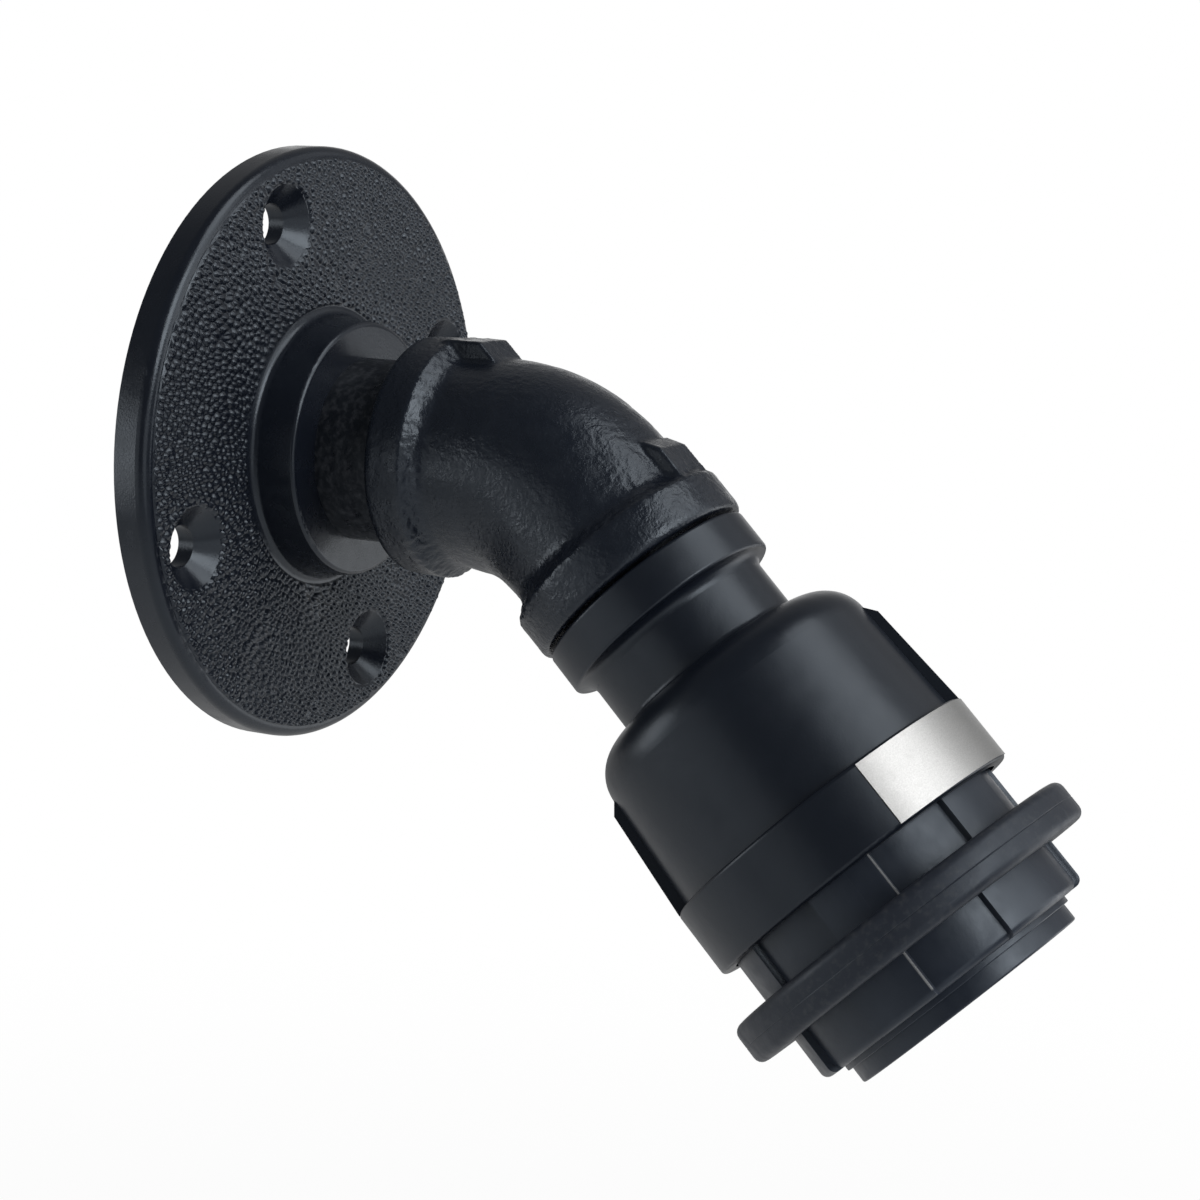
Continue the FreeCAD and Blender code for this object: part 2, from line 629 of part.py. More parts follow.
def make_lamp_cup():
    body = on_lamp_axis(new_body("lamp_cup"))
    lathe(body, "casting", [
        ("thread_hole", "cup_top"),
        ("cup_collar_radius", "cup_top", "cup_collar_round"),
        ("cup_collar_radius", "neck_top", "cup_collar_round"),
        ("neck_radius", "neck_top", "neck_round"),
        ("neck_radius", "shoulder_top", "shoulder_foot_round"),
        ("bell_top_radius", "shoulder_top", "shoulder_round"),
        ("bell_end_radius", "band_top"),
        ("band_radius", "band_top", "band_round"),
        ("band_radius", "mouth", "band_round"),
        ("mouth_radius", "mouth"),
        ("mouth_radius", "mouth - mouth_depth"),
        ("cavity_radius", "mouth - mouth_depth"),
        ("cavity_radius", "cavity_top", "cavity_round"),
        ("thread_hole", "cavity_top")])
    profile = new_sketch(body, "rib_profile", swing="rib_angle")
    outline(profile, [
        ("bell_top_radius - rib_root", "bell_top"),
        ("bell_top_radius", "bell_top"),
        ("bell_top_radius + rib_stand", "bell_top + rib_slope"),
        ("bell_end_radius + rib_stand", "band_top + band_round / 2"),
        ("bell_end_radius - rib_root", "band_top + band_round / 2")])
    rib = extrude(body, "rib", profile, "rib_width", symmetric=True)
    repeat(body, "ribs", rib, RIBS)
    return body


def make_adapter_bush():
    plug = cylinder("bush_thread", "pipe_thread_radius", "cavity_top - bush_top", "bush_top")
    head = hexagon("bush_head", "bush_flats", "bush_head_height", "cavity_top")
    bore = cylinder("bush_bore", "tube_hole", "bush_end - bush_top + 2 * overrun",
                    "bush_top - overrun")
    return on_lamp_axis(without("adapter_bush", joined("bush_blank", plug, head), bore))


def make_lamp_tube():
    tube = cylinder("tube_outside", "tube_radius", "tube_end - bush_top", "bush_top")
    bore = cylinder("tube_inside", "tube_bore_radius", "tube_end - bush_top + 2 * overrun",
                    "bush_top - overrun")
    return on_lamp_axis(without("lamp_tube", tube, bore))


def make_nut(name, lift):
    blank = hexagon(name + "_blank", "nut_flats", "nut_height", lift)
    bore = cylinder(name + "_bore", "tube_hole", "nut_height + 2 * overrun",
                    "%s - overrun" % lift)
    return without(name, blank, bore)


def make_lock_nuts():
    outer = make_nut("outer_nut", "bush_end")
    inner = make_nut("inner_nut", "(ceiling + tag_thickness)")
    return on_lamp_axis(grouped("lock_nuts", outer, inner))


def make_earth_tag():
    body = on_lamp_axis(new_body("earth_tag"))
    lathe(body, "tag_ring", [
        ("tube_hole", "ceiling"), ("tag_radius", "ceiling"),
        ("tag_radius", "ceiling + tag_thickness"), ("tube_hole", "ceiling + tag_thickness")])
    profile = new_sketch(body, "tag_arm_profile", role="YZ_Plane")
    outline(profile, [
        ("tag_radius - tag_thickness", "ceiling"),
        ("tag_arm_reach", "ceiling"),
        ("tag_arm_reach", "ceiling + tag_arm_drop"),
        ("tag_arm_reach - tag_thickness", "ceiling + tag_arm_drop"),
        ("tag_arm_reach - tag_thickness", "ceiling + tag_thickness"),
        ("tag_radius - tag_thickness", "ceiling + tag_thickness")])
    extrude(body, "tag_arm", profile, "tag_arm_width", symmetric=True)
    return body


def make_holder_cap():
    body = on_lamp_axis(new_body("holder_cap"))
    lathe(body, "dome", [
        ("tube_hole", "cap_top"),
        ("cap_boss_radius", "cap_top"),
        ("cap_boss_radius", "boss_end"),
        ("cap_radius", "boss_end + cap_dome_height", "cap_round"),
        ("cap_radius", "skirt_top"),
        ("cap_radius - cap_wall", "skirt_top"),
        ("cap_radius - cap_wall", "ceiling + cap_dome_height"),
        ("cap_boss_radius + cap_wall", "ceiling"),
        ("tube_hole", "ceiling")])
    place = new_sketch(body, "grub_place", role="YZ_Plane", lift="cap_boss_radius + overrun")
    add_circle(place, "0", "cap_top + cap_boss_height / 2", "grub_radius + thread_gap")
    extrude(body, "grub_hole", place, "cap_boss_radius + overrun", cut=True)
    return body


def make_cap_grub_screw():
    body = on_lamp_axis(new_body("cap_grub_screw"))
    section = new_sketch(body, "grub_section", role="YZ_Plane", lift="tube_hole")
    add_circle(section, "0", "cap_top + cap_boss_height / 2", "grub_radius")
    extrude(body, "grub", section, "cap_boss_radius - tube_radius + grub_head_stand")
    return body


def make_contact_block():
    body = on_lamp_axis(new_body("contact_block"))
    rim = "block_radius - block_foot_width"
    lathe(body, "porcelain", [
        ("0", "block_top - block_boss_height"),
        ("block_boss_radius", "block_top - block_boss_height"),
        ("block_boss_radius", "block_top"),
        ("block_radius", "block_top"),
        ("block_radius", "block_end"),
        (rim, "block_end"),
        (rim, "recess_face"),
        ("0", "recess_face")])
    return body


def make_terminal(label, side):
    """A brass block on the porcelain, open to its core and to the screw that clamps it."""
    block = doc.addObject("Part::Box", label + "_blank")
    bind(block, Length="terminal_length", Width="terminal_width", Height="terminal_height")
    block.setExpression("Placement.Base.x", linked("%sterminal_place - terminal_length / 2" % side))
    block.setExpression("Placement.Base.y", linked("-terminal_width / 2"))
    block.setExpression("Placement.Base.z", linked("terminal_top"))
    screw_hole = cylinder(label + "_screw_hole", "terminal_screw_radius + thread_gap",
                          "terminal_height", "terminal_top - overrun", side + "terminal_place")
    entry = cylinder(label + "_entry", "core_radius + thread_gap", "core_entry + overrun", "core_level")
    entry.Placement.Rotation = Rotation(Y_AXIS, HALF_TURN / 2)
    start = "terminal_place - terminal_length / 2 - overrun" if not side else \
        "-(terminal_place - terminal_length / 2 + core_entry)"
    entry.setExpression("Placement.Base.x", linked(start))
    return on_lamp_axis(without(label, block, joined(label + "_holes", screw_hole, entry)))


def make_terminal_screws():
    screws = []
    for side in ("", "-"):
        name = "screw_%d" % len(screws)
        head = cylinder(name + "_head", "terminal_screw_head_radius", "terminal_screw_head_height",
                        "terminal_top - terminal_screw_head_height", side + "terminal_place")
        stem = cylinder(name + "_stem", "terminal_screw_radius", "core_level - core_radius - terminal_top",
                        "terminal_top", side + "terminal_place")
        screws.append(joined(name, head, stem))
    return on_lamp_axis(grouped("terminal_screws", *screws))


def make_side_contact():
    body = on_lamp_axis(new_body("side_contact"))
    outer = "-(shell_seat - skirt_floor_width - block_play)"
    profile = new_sketch(body, "side_profile", role="YZ_Plane")
    outline(profile, [
        ("-side_strip_root", "recess_face"),
        (outer, "recess_face"),
        (outer, "shell_top"),
        (outer + " + strip_thickness", "shell_top"),
        (outer + " + strip_thickness", "recess_face + strip_thickness"),
        ("-side_strip_root", "recess_face + strip_thickness")])
    extrude(body, "strip", profile, "side_strip_width", symmetric=True)
    return body


def make_centre_contact():
    """Sprung tongue: a flat foot under the porcelain and a long arm that slopes to its tip."""
    body = on_lamp_axis(new_body("centre_contact"))
    profile = new_sketch(body, "tongue_profile", role="YZ_Plane")
    outline(profile, [
        ("contact_root", "contact_seat"),
        ("contact_root", "contact_seat + strip_thickness"),
        ("contact_root - contact_foot", "contact_seat + strip_thickness"),
        ("0", "contact_end"),
        ("-contact_tip", "contact_end"),
        ("-contact_tip", "contact_end - strip_thickness"),
        ("0", "contact_end - strip_thickness"),
        ("contact_root - contact_foot", "contact_seat")])
    extrude(body, "tongue", profile, "strip_width", symmetric=True)
    return body


def make_screw_shell():
    body = on_lamp_axis(new_body("screw_shell"))
    inner_edge = "lamp_entry_radius - shell_lip_width"
    lathe(body, "shell", [
        (inner_edge, "shell_top"),
        ("shell_radius", "shell_top"),
        ("shell_radius", "shell_top + shell_length"),
        ("lamp_entry_radius", "shell_top + shell_length"),
        ("lamp_entry_radius", "shell_top + shell_thickness"),
        (inner_edge, "shell_top + shell_thickness")])
    return body


def recess_skirt(body, name, middle, start, end):
    """Every second segment of the skirt lies a step deeper than its neighbours."""
    profile = new_sketch(body, name + "_profile", swing="%s - recess_angle / 2" % middle)
    outline(profile, [
        ("skirt_radius - skirt_step", start), ("skirt_radius + overrun", start),
        ("skirt_radius + overrun", end), ("skirt_radius - skirt_step", end)])
    recess = turned(body, name, profile, cut=True, sweep="recess_angle")
    repeat(body, name + "es", recess, SEGMENTS)


def make_holder_skirt():
    body = on_lamp_axis(new_body("holder_skirt"))
    ledge = "shell_seat - skirt_floor_width"
    disc = "lip_radius + lip_disc_stand"
    lathe(body, "moulding", [
        (ledge, "shell_top"),
        (ledge, "block_end"),
        ("block_seat", "block_end"),
        ("block_seat", "spigot_top"),
        ("spigot_radius", "spigot_top"),
        ("spigot_radius", "skirt_top"),
        ("skirt_radius", "skirt_top"),
        ("skirt_radius", "skirt_end", "skirt_round"),
        (disc, "skirt_end"),
        (disc, "skirt_end + lip_disc_height"),
        ("lip_radius", "skirt_end + lip_disc_height"),
        ("lip_radius", "lip_end", "lip_round"),
        ("shell_seat", "lip_end"),
        ("shell_seat", "shell_top")])
    recess_skirt(body, "upper_recess", "upper_recess_angle", "mouth - mouth_depth / 2", "ring_split")
    recess_skirt(body, "lower_recess", "lower_recess_angle", "ring_split", "skirt_end + overrun")
    return body


def make_foil_label():
    body = on_lamp_axis(new_body("foil_label"))
    inner = "band_radius + label_gap"
    profile = new_sketch(body, "foil_profile", swing="label_angle - label_sweep_angle")
    outline(profile, [
        (inner, "band_top + label_inset"), (inner + " + label_thickness", "band_top + label_inset"),
        (inner + " + label_thickness", "mouth - label_inset"), (inner, "mouth - label_inset")])
    turned(body, "foil", profile, sweep="label_sweep_angle")
    return body


def make_core(label, across, along, target):
    """One insulated core: up the lamp tube, then across to its terminal, round a tangent bend."""
    start = Vector(size(across), size(along), size("lead_end + seat_gap"))
    corner = Vector(start.x, start.y, size("core_level"))
    end = Vector(size(target[0]), size(target[1]), corner.z)
    reach = (end - corner).Length * size("core_bend_share")
    out = (end - corner).normalize()
    enter, leave = corner - Z_AXIS * reach, corner + out * reach
    middle = corner + (out - Z_AXIS) * reach + (Z_AXIS - out).normalize() * reach
    path = Part.Wire([Part.LineSegment(start, enter).toShape(), Part.Arc(enter, middle, leave).toShape(),
                      Part.LineSegment(leave, end).toShape()])
    section = Part.Wire([Part.Circle(start, Z_AXIS, size("core_radius")).toShape()])
    core = doc.addObject("Part::Feature", label)
    core.Shape = path.makePipeShell([section], True, False)
    return on_lamp_axis(core)


def make_cores():
    terminal = "terminal_place - terminal_length / 2 + core_entry / 2"
    live, neutral, earth = core_places()
    return [
        make_core("live_core", *live, (terminal, "0")),
        make_core("neutral_core", *neutral, ("-(%s)" % terminal, "0")),
        make_core("earth_core", *earth, ("0", "tag_arm_reach - tag_thickness"))]


# The shade ring

def make_shade_ring():
    body = on_lamp_axis(new_body("shade_ring"))
    lathe(body, "ring", [
        ("ring_bore", "ring_top"),
        ("ring_radius", "ring_top", "ring_round"),
        ("ring_radius", "ring_top + ring_height", "ring_round"),
        ("ring_bore", "ring_top + ring_height")])
    return body


# The assembly

pieces = [
    make_wall_flange(),
    make_wall_nipple(),
    make_elbow(),
    make_cup_nipple(),
    make_internal_lead(),
    make_lamp_cup(),
    make_adapter_bush(),
    make_lamp_tube(),
    make_lock_nuts(),
    make_earth_tag(),
    make_holder_cap(),
    make_cap_grub_screw(),
    make_contact_block(),
    make_terminal("live_terminal", ""),
    make_terminal("neutral_terminal", "-"),
    make_terminal_screws(),
    make_side_contact(),
    make_centre_contact(),
    make_screw_shell(),
    make_holder_skirt(),
    make_foil_label(),
    make_shade_ring(),
] + make_cores()
doc.recompute()

for item in doc.Objects:
    if "Invalid" in item.State or "Error" in item.State:
        raise RuntimeError("%s is %s" % (item.Label, item.State))
    if item.TypeId in ("PartDesign::Pocket", "PartDesign::Groove", "PartDesign::Hole"):
        if item.Shape.Volume >= item.BaseFeature.Shape.Volume:
            raise RuntimeError("%s cuts nothing" % item.Label)

os.makedirs("parts", exist_ok=True)
for piece in pieces:
    if piece.Shape.isNull() or not piece.Shape.isValid():
        raise RuntimeError("%s has no valid shape" % piece.Label)
    piece.Shape.exportStep("parts/%s.step" % piece.Label)
    print("%-18s solids %d volume %.1f" % (piece.Label, len(piece.Shape.Solids), piece.Shape.Volume))
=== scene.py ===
import json
import math

import bmesh
import bpy
import numpy as np
from mathutils import Matrix, Vector, noise
from mathutils.geometry import delaunay_2d_cdt
from mathutils.kdtree import KDTree


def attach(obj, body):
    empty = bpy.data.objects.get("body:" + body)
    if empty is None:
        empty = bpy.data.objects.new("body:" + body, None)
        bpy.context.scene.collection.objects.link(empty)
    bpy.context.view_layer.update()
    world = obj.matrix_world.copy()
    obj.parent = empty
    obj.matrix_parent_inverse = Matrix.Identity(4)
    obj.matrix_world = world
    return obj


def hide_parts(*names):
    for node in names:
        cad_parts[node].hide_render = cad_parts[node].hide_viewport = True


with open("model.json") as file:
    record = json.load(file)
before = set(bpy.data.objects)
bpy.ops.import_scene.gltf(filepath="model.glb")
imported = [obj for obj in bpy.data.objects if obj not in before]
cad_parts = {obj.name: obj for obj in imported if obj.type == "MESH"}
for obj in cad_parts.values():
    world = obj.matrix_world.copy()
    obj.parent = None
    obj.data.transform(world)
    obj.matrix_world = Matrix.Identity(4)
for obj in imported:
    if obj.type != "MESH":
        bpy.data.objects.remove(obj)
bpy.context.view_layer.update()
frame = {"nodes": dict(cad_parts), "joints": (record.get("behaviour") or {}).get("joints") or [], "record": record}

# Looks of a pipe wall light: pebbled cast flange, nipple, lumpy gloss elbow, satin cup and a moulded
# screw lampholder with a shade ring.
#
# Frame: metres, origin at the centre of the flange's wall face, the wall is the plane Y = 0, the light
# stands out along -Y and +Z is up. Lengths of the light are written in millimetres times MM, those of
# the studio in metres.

MM = 0.001
SEED = 7

# Camera: where the photograph was taken from, with the light enlarged to fill the frame
EYE = Vector((-294.58, -200.65, 38.31)) * MM
CAMERA_AZIMUTH = -62.92
CAMERA_ELEVATION = 9.60
CAMERA_ROLL = 2.19
PHOTO_WIDTH = 1200
PHOTO_FOCAL_PIXELS = 1285.2
ENLARGEMENT = 1.9
SENSOR_WIDTH = 36
CAMERA_NEAR = 0.01
CAMERA_FAR = 20

# Meshes in general. Above these angles in degrees an edge stays sharp.
NODE_SHARP = 30
PIECE_SHARP = 35
FLANGE_SHARP = 40
ROUND_STEPS = 5
SETTLE_SHARE = 0.5

# Reading a CAD node: how near a point lies to a radius or place that it is on, how far to one that it is
# well clear of, and how near and how alike two corners are that count as the same
NEAR = 0.05 * MM
WELL_CLEAR = 1.0 * MM
SAME_CORNER = 0.002 * MM
SAME_SIDE = 0.7

# Surface of the pebbled plate. Drift, margin, jitter, dome and valley width are shares of a pebble's
# pitch, and the clearance at a rim is a share of the mesh pitch.
FACE_MESH_PITCH = 0.22 * MM
PLATE_WELD = 0.001 * MM
PLATE_LEVEL_PLAY = 0.01 * MM
HOLE_EDGE_PLAY = 0.02 * MM
FACES_ROOM = 0.999
RIM_CLEARANCE = 0.4
TRIANGLE_EPSILON = 1e-7
PEBBLE_PITCH = 0.95 * MM
PEBBLE_HEIGHT = 0.56 * MM
PEBBLE_STRETCH = 1.35
PEBBLE_TURN = math.radians(36)
PEBBLE_DRIFT = 1.3
PEBBLE_DRIFT_PITCH = 9 * MM
PEBBLE_DRIFT_SHIFTS = (0.3, 5.7)
PEBBLE_MARGIN = 0.1
PEBBLE_JITTER = 0.8
PEBBLE_DOME = 0.85
PEBBLE_DOME_POWER = 0.8
VALLEY_WIDTH = 0.45
VALLEY_DEPTH = 0.5
PEBBLE_RIM_FADE = 0.15 * MM
PEBBLE_HOLE_FADE = 0.55 * MM
SCATTER_ACROSS = (127.1, 311.7)
SCATTER_ALONG = (269.5, 183.3)
SCATTER_SCALE = 43758.5453

# Surface of the cast elbow. Relief sinks by a share of its height, so that most of it lies under the skin.
ELBOW_MESH_PITCH = 0.34 * MM
ELBOW_SETTLE_STEPS = 3
RELIEF_SINK = 0.4
LUMP_PITCH = 5.0 * MM
LUMP_HEIGHT = 0.1 * MM
DRIP_PITCH = 0.8 * MM
DRIP_SHIFT = 3.1
DRIP_HEIGHT = 0.055 * MM
DRIP_SMOOTH_SHARE = 0.4
DRIP_ROUGH_SHARE = 0.6
PATCH_PITCH = 7 * MM
PATCH_SHIFT = 8.4
PATCH_START = -0.25
PATCH_FULL = 0.35
SHOULDER_ALONG = 13.9 * MM
SHOULDER_SPREAD = 1.3 * MM
SHOULDER_ROUGH = 1.9
COLLAR_REACH = 20.4 * MM
END_PLAIN = 0.1 * MM
END_RELIEF_FULL = 0.9 * MM
PASSAGE_CLEAR = 13.2 * MM
CASTING_FULL = 14.0 * MM
THROAT_OUT = 15.3 * MM
THROAT_FILL = 1.6 * MM
THROAT_SPREAD = 4.5 * MM
CUP_END_FILL = 0.35 * MM
CUP_END_FILL_START = 1.2 * MM
CUP_END_FILL_FULL = 0.2 * MM

# Moulded skirt of the lampholder. Angles are in degrees round the lamp axis.
SEGMENTS = 6
SKIRT_ANGLES = 180
RECESS_ANGLE = 33.0
UPPER_RECESS_ANGLE = 134.5
LOWER_RECESS_ANGLE = 145.25
SKIRT_STEP = 0.9 * MM
STEP_WIDTH_ANGLE = 0.9
STEP_SHARES = (-1.1, -0.75, -0.45, -0.2, 0, 0.2, 0.45, 0.75, 1.1)
# Band past one step edge, in shares of the step's width, where a lighter colour is painted as the highlight that
# edge catches
PAINTED_HIGHLIGHT_START = 0.1
PAINTED_HIGHLIGHT_END = 0.8
RECESS_ABOVE_MOUTH = 2.3 * MM
SKIRT_FOOT_ROUND = 1.1 * MM
SKIRT_FOOT_STEPS = 6
LIP_DISC_STAND = 0.7 * MM
LIP_DISC_HEIGHT = 0.8 * MM
LIP_DISC_PLAY = 0.02 * MM
LIP_MOUTH = 0.2 * MM
EDGE_ROUND = 0.3 * MM

# Shade ring
RING_ANGLES = 240
RING_ROUND = 1.3 * MM
PARTING_WIDTH = 0.22 * MM
PARTING_DEPTH = 0.05 * MM

# Rolled thread of the screw shell: 7 turns per inch
INCH = 25.4 * MM
SHELL_TURNS_PER_INCH = 7
SHELL_THREAD_DEPTH = 1.1 * MM
SHELL_THICKNESS = 0.4 * MM
SHELL_PLAIN = 1.2 * MM
SHELL_ANGLES = 120
SHELL_LEVELS = 110

# Wires. Bare strands are measured from a tail's end.
CORE_RADIUS = 0.95 * MM
STRAND_RADIUS = 0.62 * MM
LEAD_BEND_START = 8 * MM
LEAD_BEND_END = 16 * MM
SHEATH_WALL = 0.55 * MM
TAIL_TUCK = 1.0 * MM
TAIL_BARE = 1.6 * MM
STRAND_MIDDLE = 1.2 * MM
STRAND_TUCK = 2.4 * MM
TUBE_BEVEL_STEPS = 5
TUBE_RUN_STEPS = 12
TUBE_ORDER = 3


# Frames of the two axes, from the joints

joints = {joint["name"]: joint for joint in frame["joints"]}
X_AXIS = Vector((1, 0, 0))


def axis_frame(origin, along):
    """Matrix from a piece's own axes, with Z along its axis, to the row frame."""
    up = along.cross(X_AXIS)
    columns = Matrix((X_AXIS, up, along)).transposed().to_4x4()
    return Matrix.Translation(origin) @ columns


wall_direction = Vector(joints["elbow_swivel"]["axis"]).normalized()
lamp_direction = Vector(joints["cup_turn"]["axis"]).normalized()
lamp_point = Vector(joints["cup_turn"]["pos_m"])
bend_centre = lamp_point - lamp_direction * (lamp_point.z / lamp_direction.z)
WALL = axis_frame(Vector(), wall_direction)
LAMP = axis_frame(bend_centre, lamp_direction)


def local_points(node, axes):
    """A CAD node's vertices in the frame of an axis, as rows of x, y and z."""
    back = np.array(axes.inverted())
    points = np.array([vertex.co for vertex in frame["nodes"][node].data.vertices], float)
    return points @ back[:3, :3].T + back[:3, 3]


def reach(points):
    """Distance of each point from the axis."""
    return np.hypot(points[:, 0], points[:, 1])


# Meshes

def add_piece(name, mesh, body, material, stands_for=()):
    """Puts a mesh in the scene on its body, in the place of the CAD nodes that it stands for."""
    piece = bpy.data.objects.new(name, mesh)
    bpy.context.scene.collection.objects.link(piece)
    mesh.materials.clear()
    mesh.materials.append(material)
    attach(piece, body)
    if stands_for:
        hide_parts(*stands_for)


def smooth(mesh, sharp_degrees=PIECE_SHARP):
    """Smooth shading, with the edges above an angle kept sharp."""
    mesh.shade_smooth()
    mesh.set_sharp_from_angle(angle=math.radians(sharp_degrees))
    return mesh


def keep_normals(mesh, source):
    """Gives the corners that a mesh shares with a CAD mesh the normals that they have there."""
    tree = KDTree(len(source.loops))
    for loop in source.loops:
        tree.insert(source.vertices[loop.vertex_index].co, loop.index)
    tree.balance()
    known = [corner.vector.copy() for corner in source.corner_normals]
    normals = [corner.vector.copy() for corner in mesh.corner_normals]
    for face in mesh.polygons:
        for index in face.loop_indices:
            place = mesh.vertices[mesh.loops[index].vertex_index].co
            near = [known[found] for _, found, _ in tree.find_range(place, SAME_CORNER)]
            best = max(near, key=face.normal.dot, default=None)
            if best is not None and best.dot(face.normal) > SAME_SIDE:
                normals[index] = best
    mesh.normals_split_custom_set(normals)


def rounded(corners):
    """A closed profile of (radius, place) points. A third value rounds that corner."""
    points = []
    for index, corner in enumerate(corners):
        here = Vector(corner[:2])
        if len(corner) == 2:
            points.append(tuple(here))
            continue
        size = corner[2]
        before = (Vector(corners[index - 1][:2]) - here).normalized()
        after = (Vector(corners[(index + 1) % len(corners)][:2]) - here).normalized()
        half = before.angle(after) / 2
        centre = here + (before + after).normalized() * size / math.sin(half)
        start = here + before * size / math.tan(half) - centre
        end = here + after * size / math.tan(half) - centre
        for step in range(ROUND_STEPS + 1):
            points.append(tuple(centre + start.slerp(end, step / ROUND_STEPS).normalized() * size))
    return points


def polar_mesh(name, rows, axes):
    """A closed mesh from rows[profile point][angle] = (radius, angle, place)."""
    rows = np.asarray(rows, float)
    count, around = rows.shape[:2]
    radius, angle, place = rows[..., 0], rows[..., 1], rows[..., 2]
    points = np.stack([radius * np.cos(angle), radius * np.sin(angle), place], axis=-1).reshape(-1, 3)
    index = np.arange(count * around).reshape(count, around)
    next_row = np.roll(index, -1, axis=0)
    quads = np.stack([index, np.roll(index, -1, axis=1), np.roll(next_row, -1, axis=1), next_row], axis=-1)
    mesh = bpy.data.meshes.new(name)
    mesh.from_pydata(points.tolist(), [], quads.reshape(-1, 4).tolist())
    mesh.transform(axes)
    outward(mesh)
    return smooth(mesh)


def outward(mesh):
    """Turns all faces to the outside."""
    work = bmesh.new()
    work.from_mesh(mesh)
    bmesh.ops.recalc_face_normals(work, faces=work.faces)
    work.to_mesh(mesh)
    work.free()


def turned_rows(profile, angles):
    """Rows for polar_mesh of a profile that is the same all round."""
    return [[(radius, angle, place) for angle in angles] for radius, place in profile]


def even_angles(count):
    """Angles round the whole axis in even steps."""
    return np.linspace(0, 2 * math.pi, count, endpoint=False)


def settled_mesh(helper, name):
    """The mesh that a helper object comes to with its modifiers or bevel. The helper goes."""
    mesh = bpy.data.meshes.new_from_object(helper.evaluated_get(bpy.context.evaluated_depsgraph_get()))
    bpy.data.objects.remove(helper)
    mesh.name = name
    return mesh


def gridded(name, node, pitch, relax):
    """An even mesh over a CAD node's surface, for relief that a few large facets can't carry."""
    helper = bpy.data.objects.new(name, frame["nodes"][node].data.copy())
    bpy.context.scene.collection.objects.link(helper)
    grid = helper.modifiers.new("grid", "REMESH")
    grid.mode = "VOXEL"
    grid.voxel_size = pitch
    settle = helper.modifiers.new("settle", "SMOOTH")
    settle.factor = SETTLE_SHARE
    settle.iterations = relax
    return settled_mesh(helper, name)


def rows_of(source, what):
    """A mesh's places or normals as rows of x, y and z."""
    values = np.zeros(len(source) * 3, np.float32)
    source.foreach_get(what, values)
    return values.reshape(-1, 3).astype(float)


def ramp(values, low, high):
    """A smooth step from 0 at low to 1 at high."""
    share = np.clip((values - low) / (high - low), 0, 1)
    return share * share * (3 - 2 * share)


def field(points, pitch, shift=0.0):
    """Smooth noise from -1 to 1 at each point."""
    offset = Vector((shift, shift, shift))
    return np.array([noise.noise(Vector(point) / pitch + offset) for point in points])


# Materials

NOISE_LOW = 0.3
NOISE_HIGH = 0.7


def map_range(tree, source, start, end, low, high, kind="LINEAR"):
    """A value that goes from low where the source is at the start to high where it is at the end."""
    node = tree.nodes.new("ShaderNodeMapRange")
    node.interpolation_type = kind
    for label, value in (("From Min", start), ("From Max", end), ("To Min", low), ("To Max", high)):
        node.inputs[label].default_value = value
    tree.links.new(source, node.inputs["Value"])
    return node.outputs["Result"]


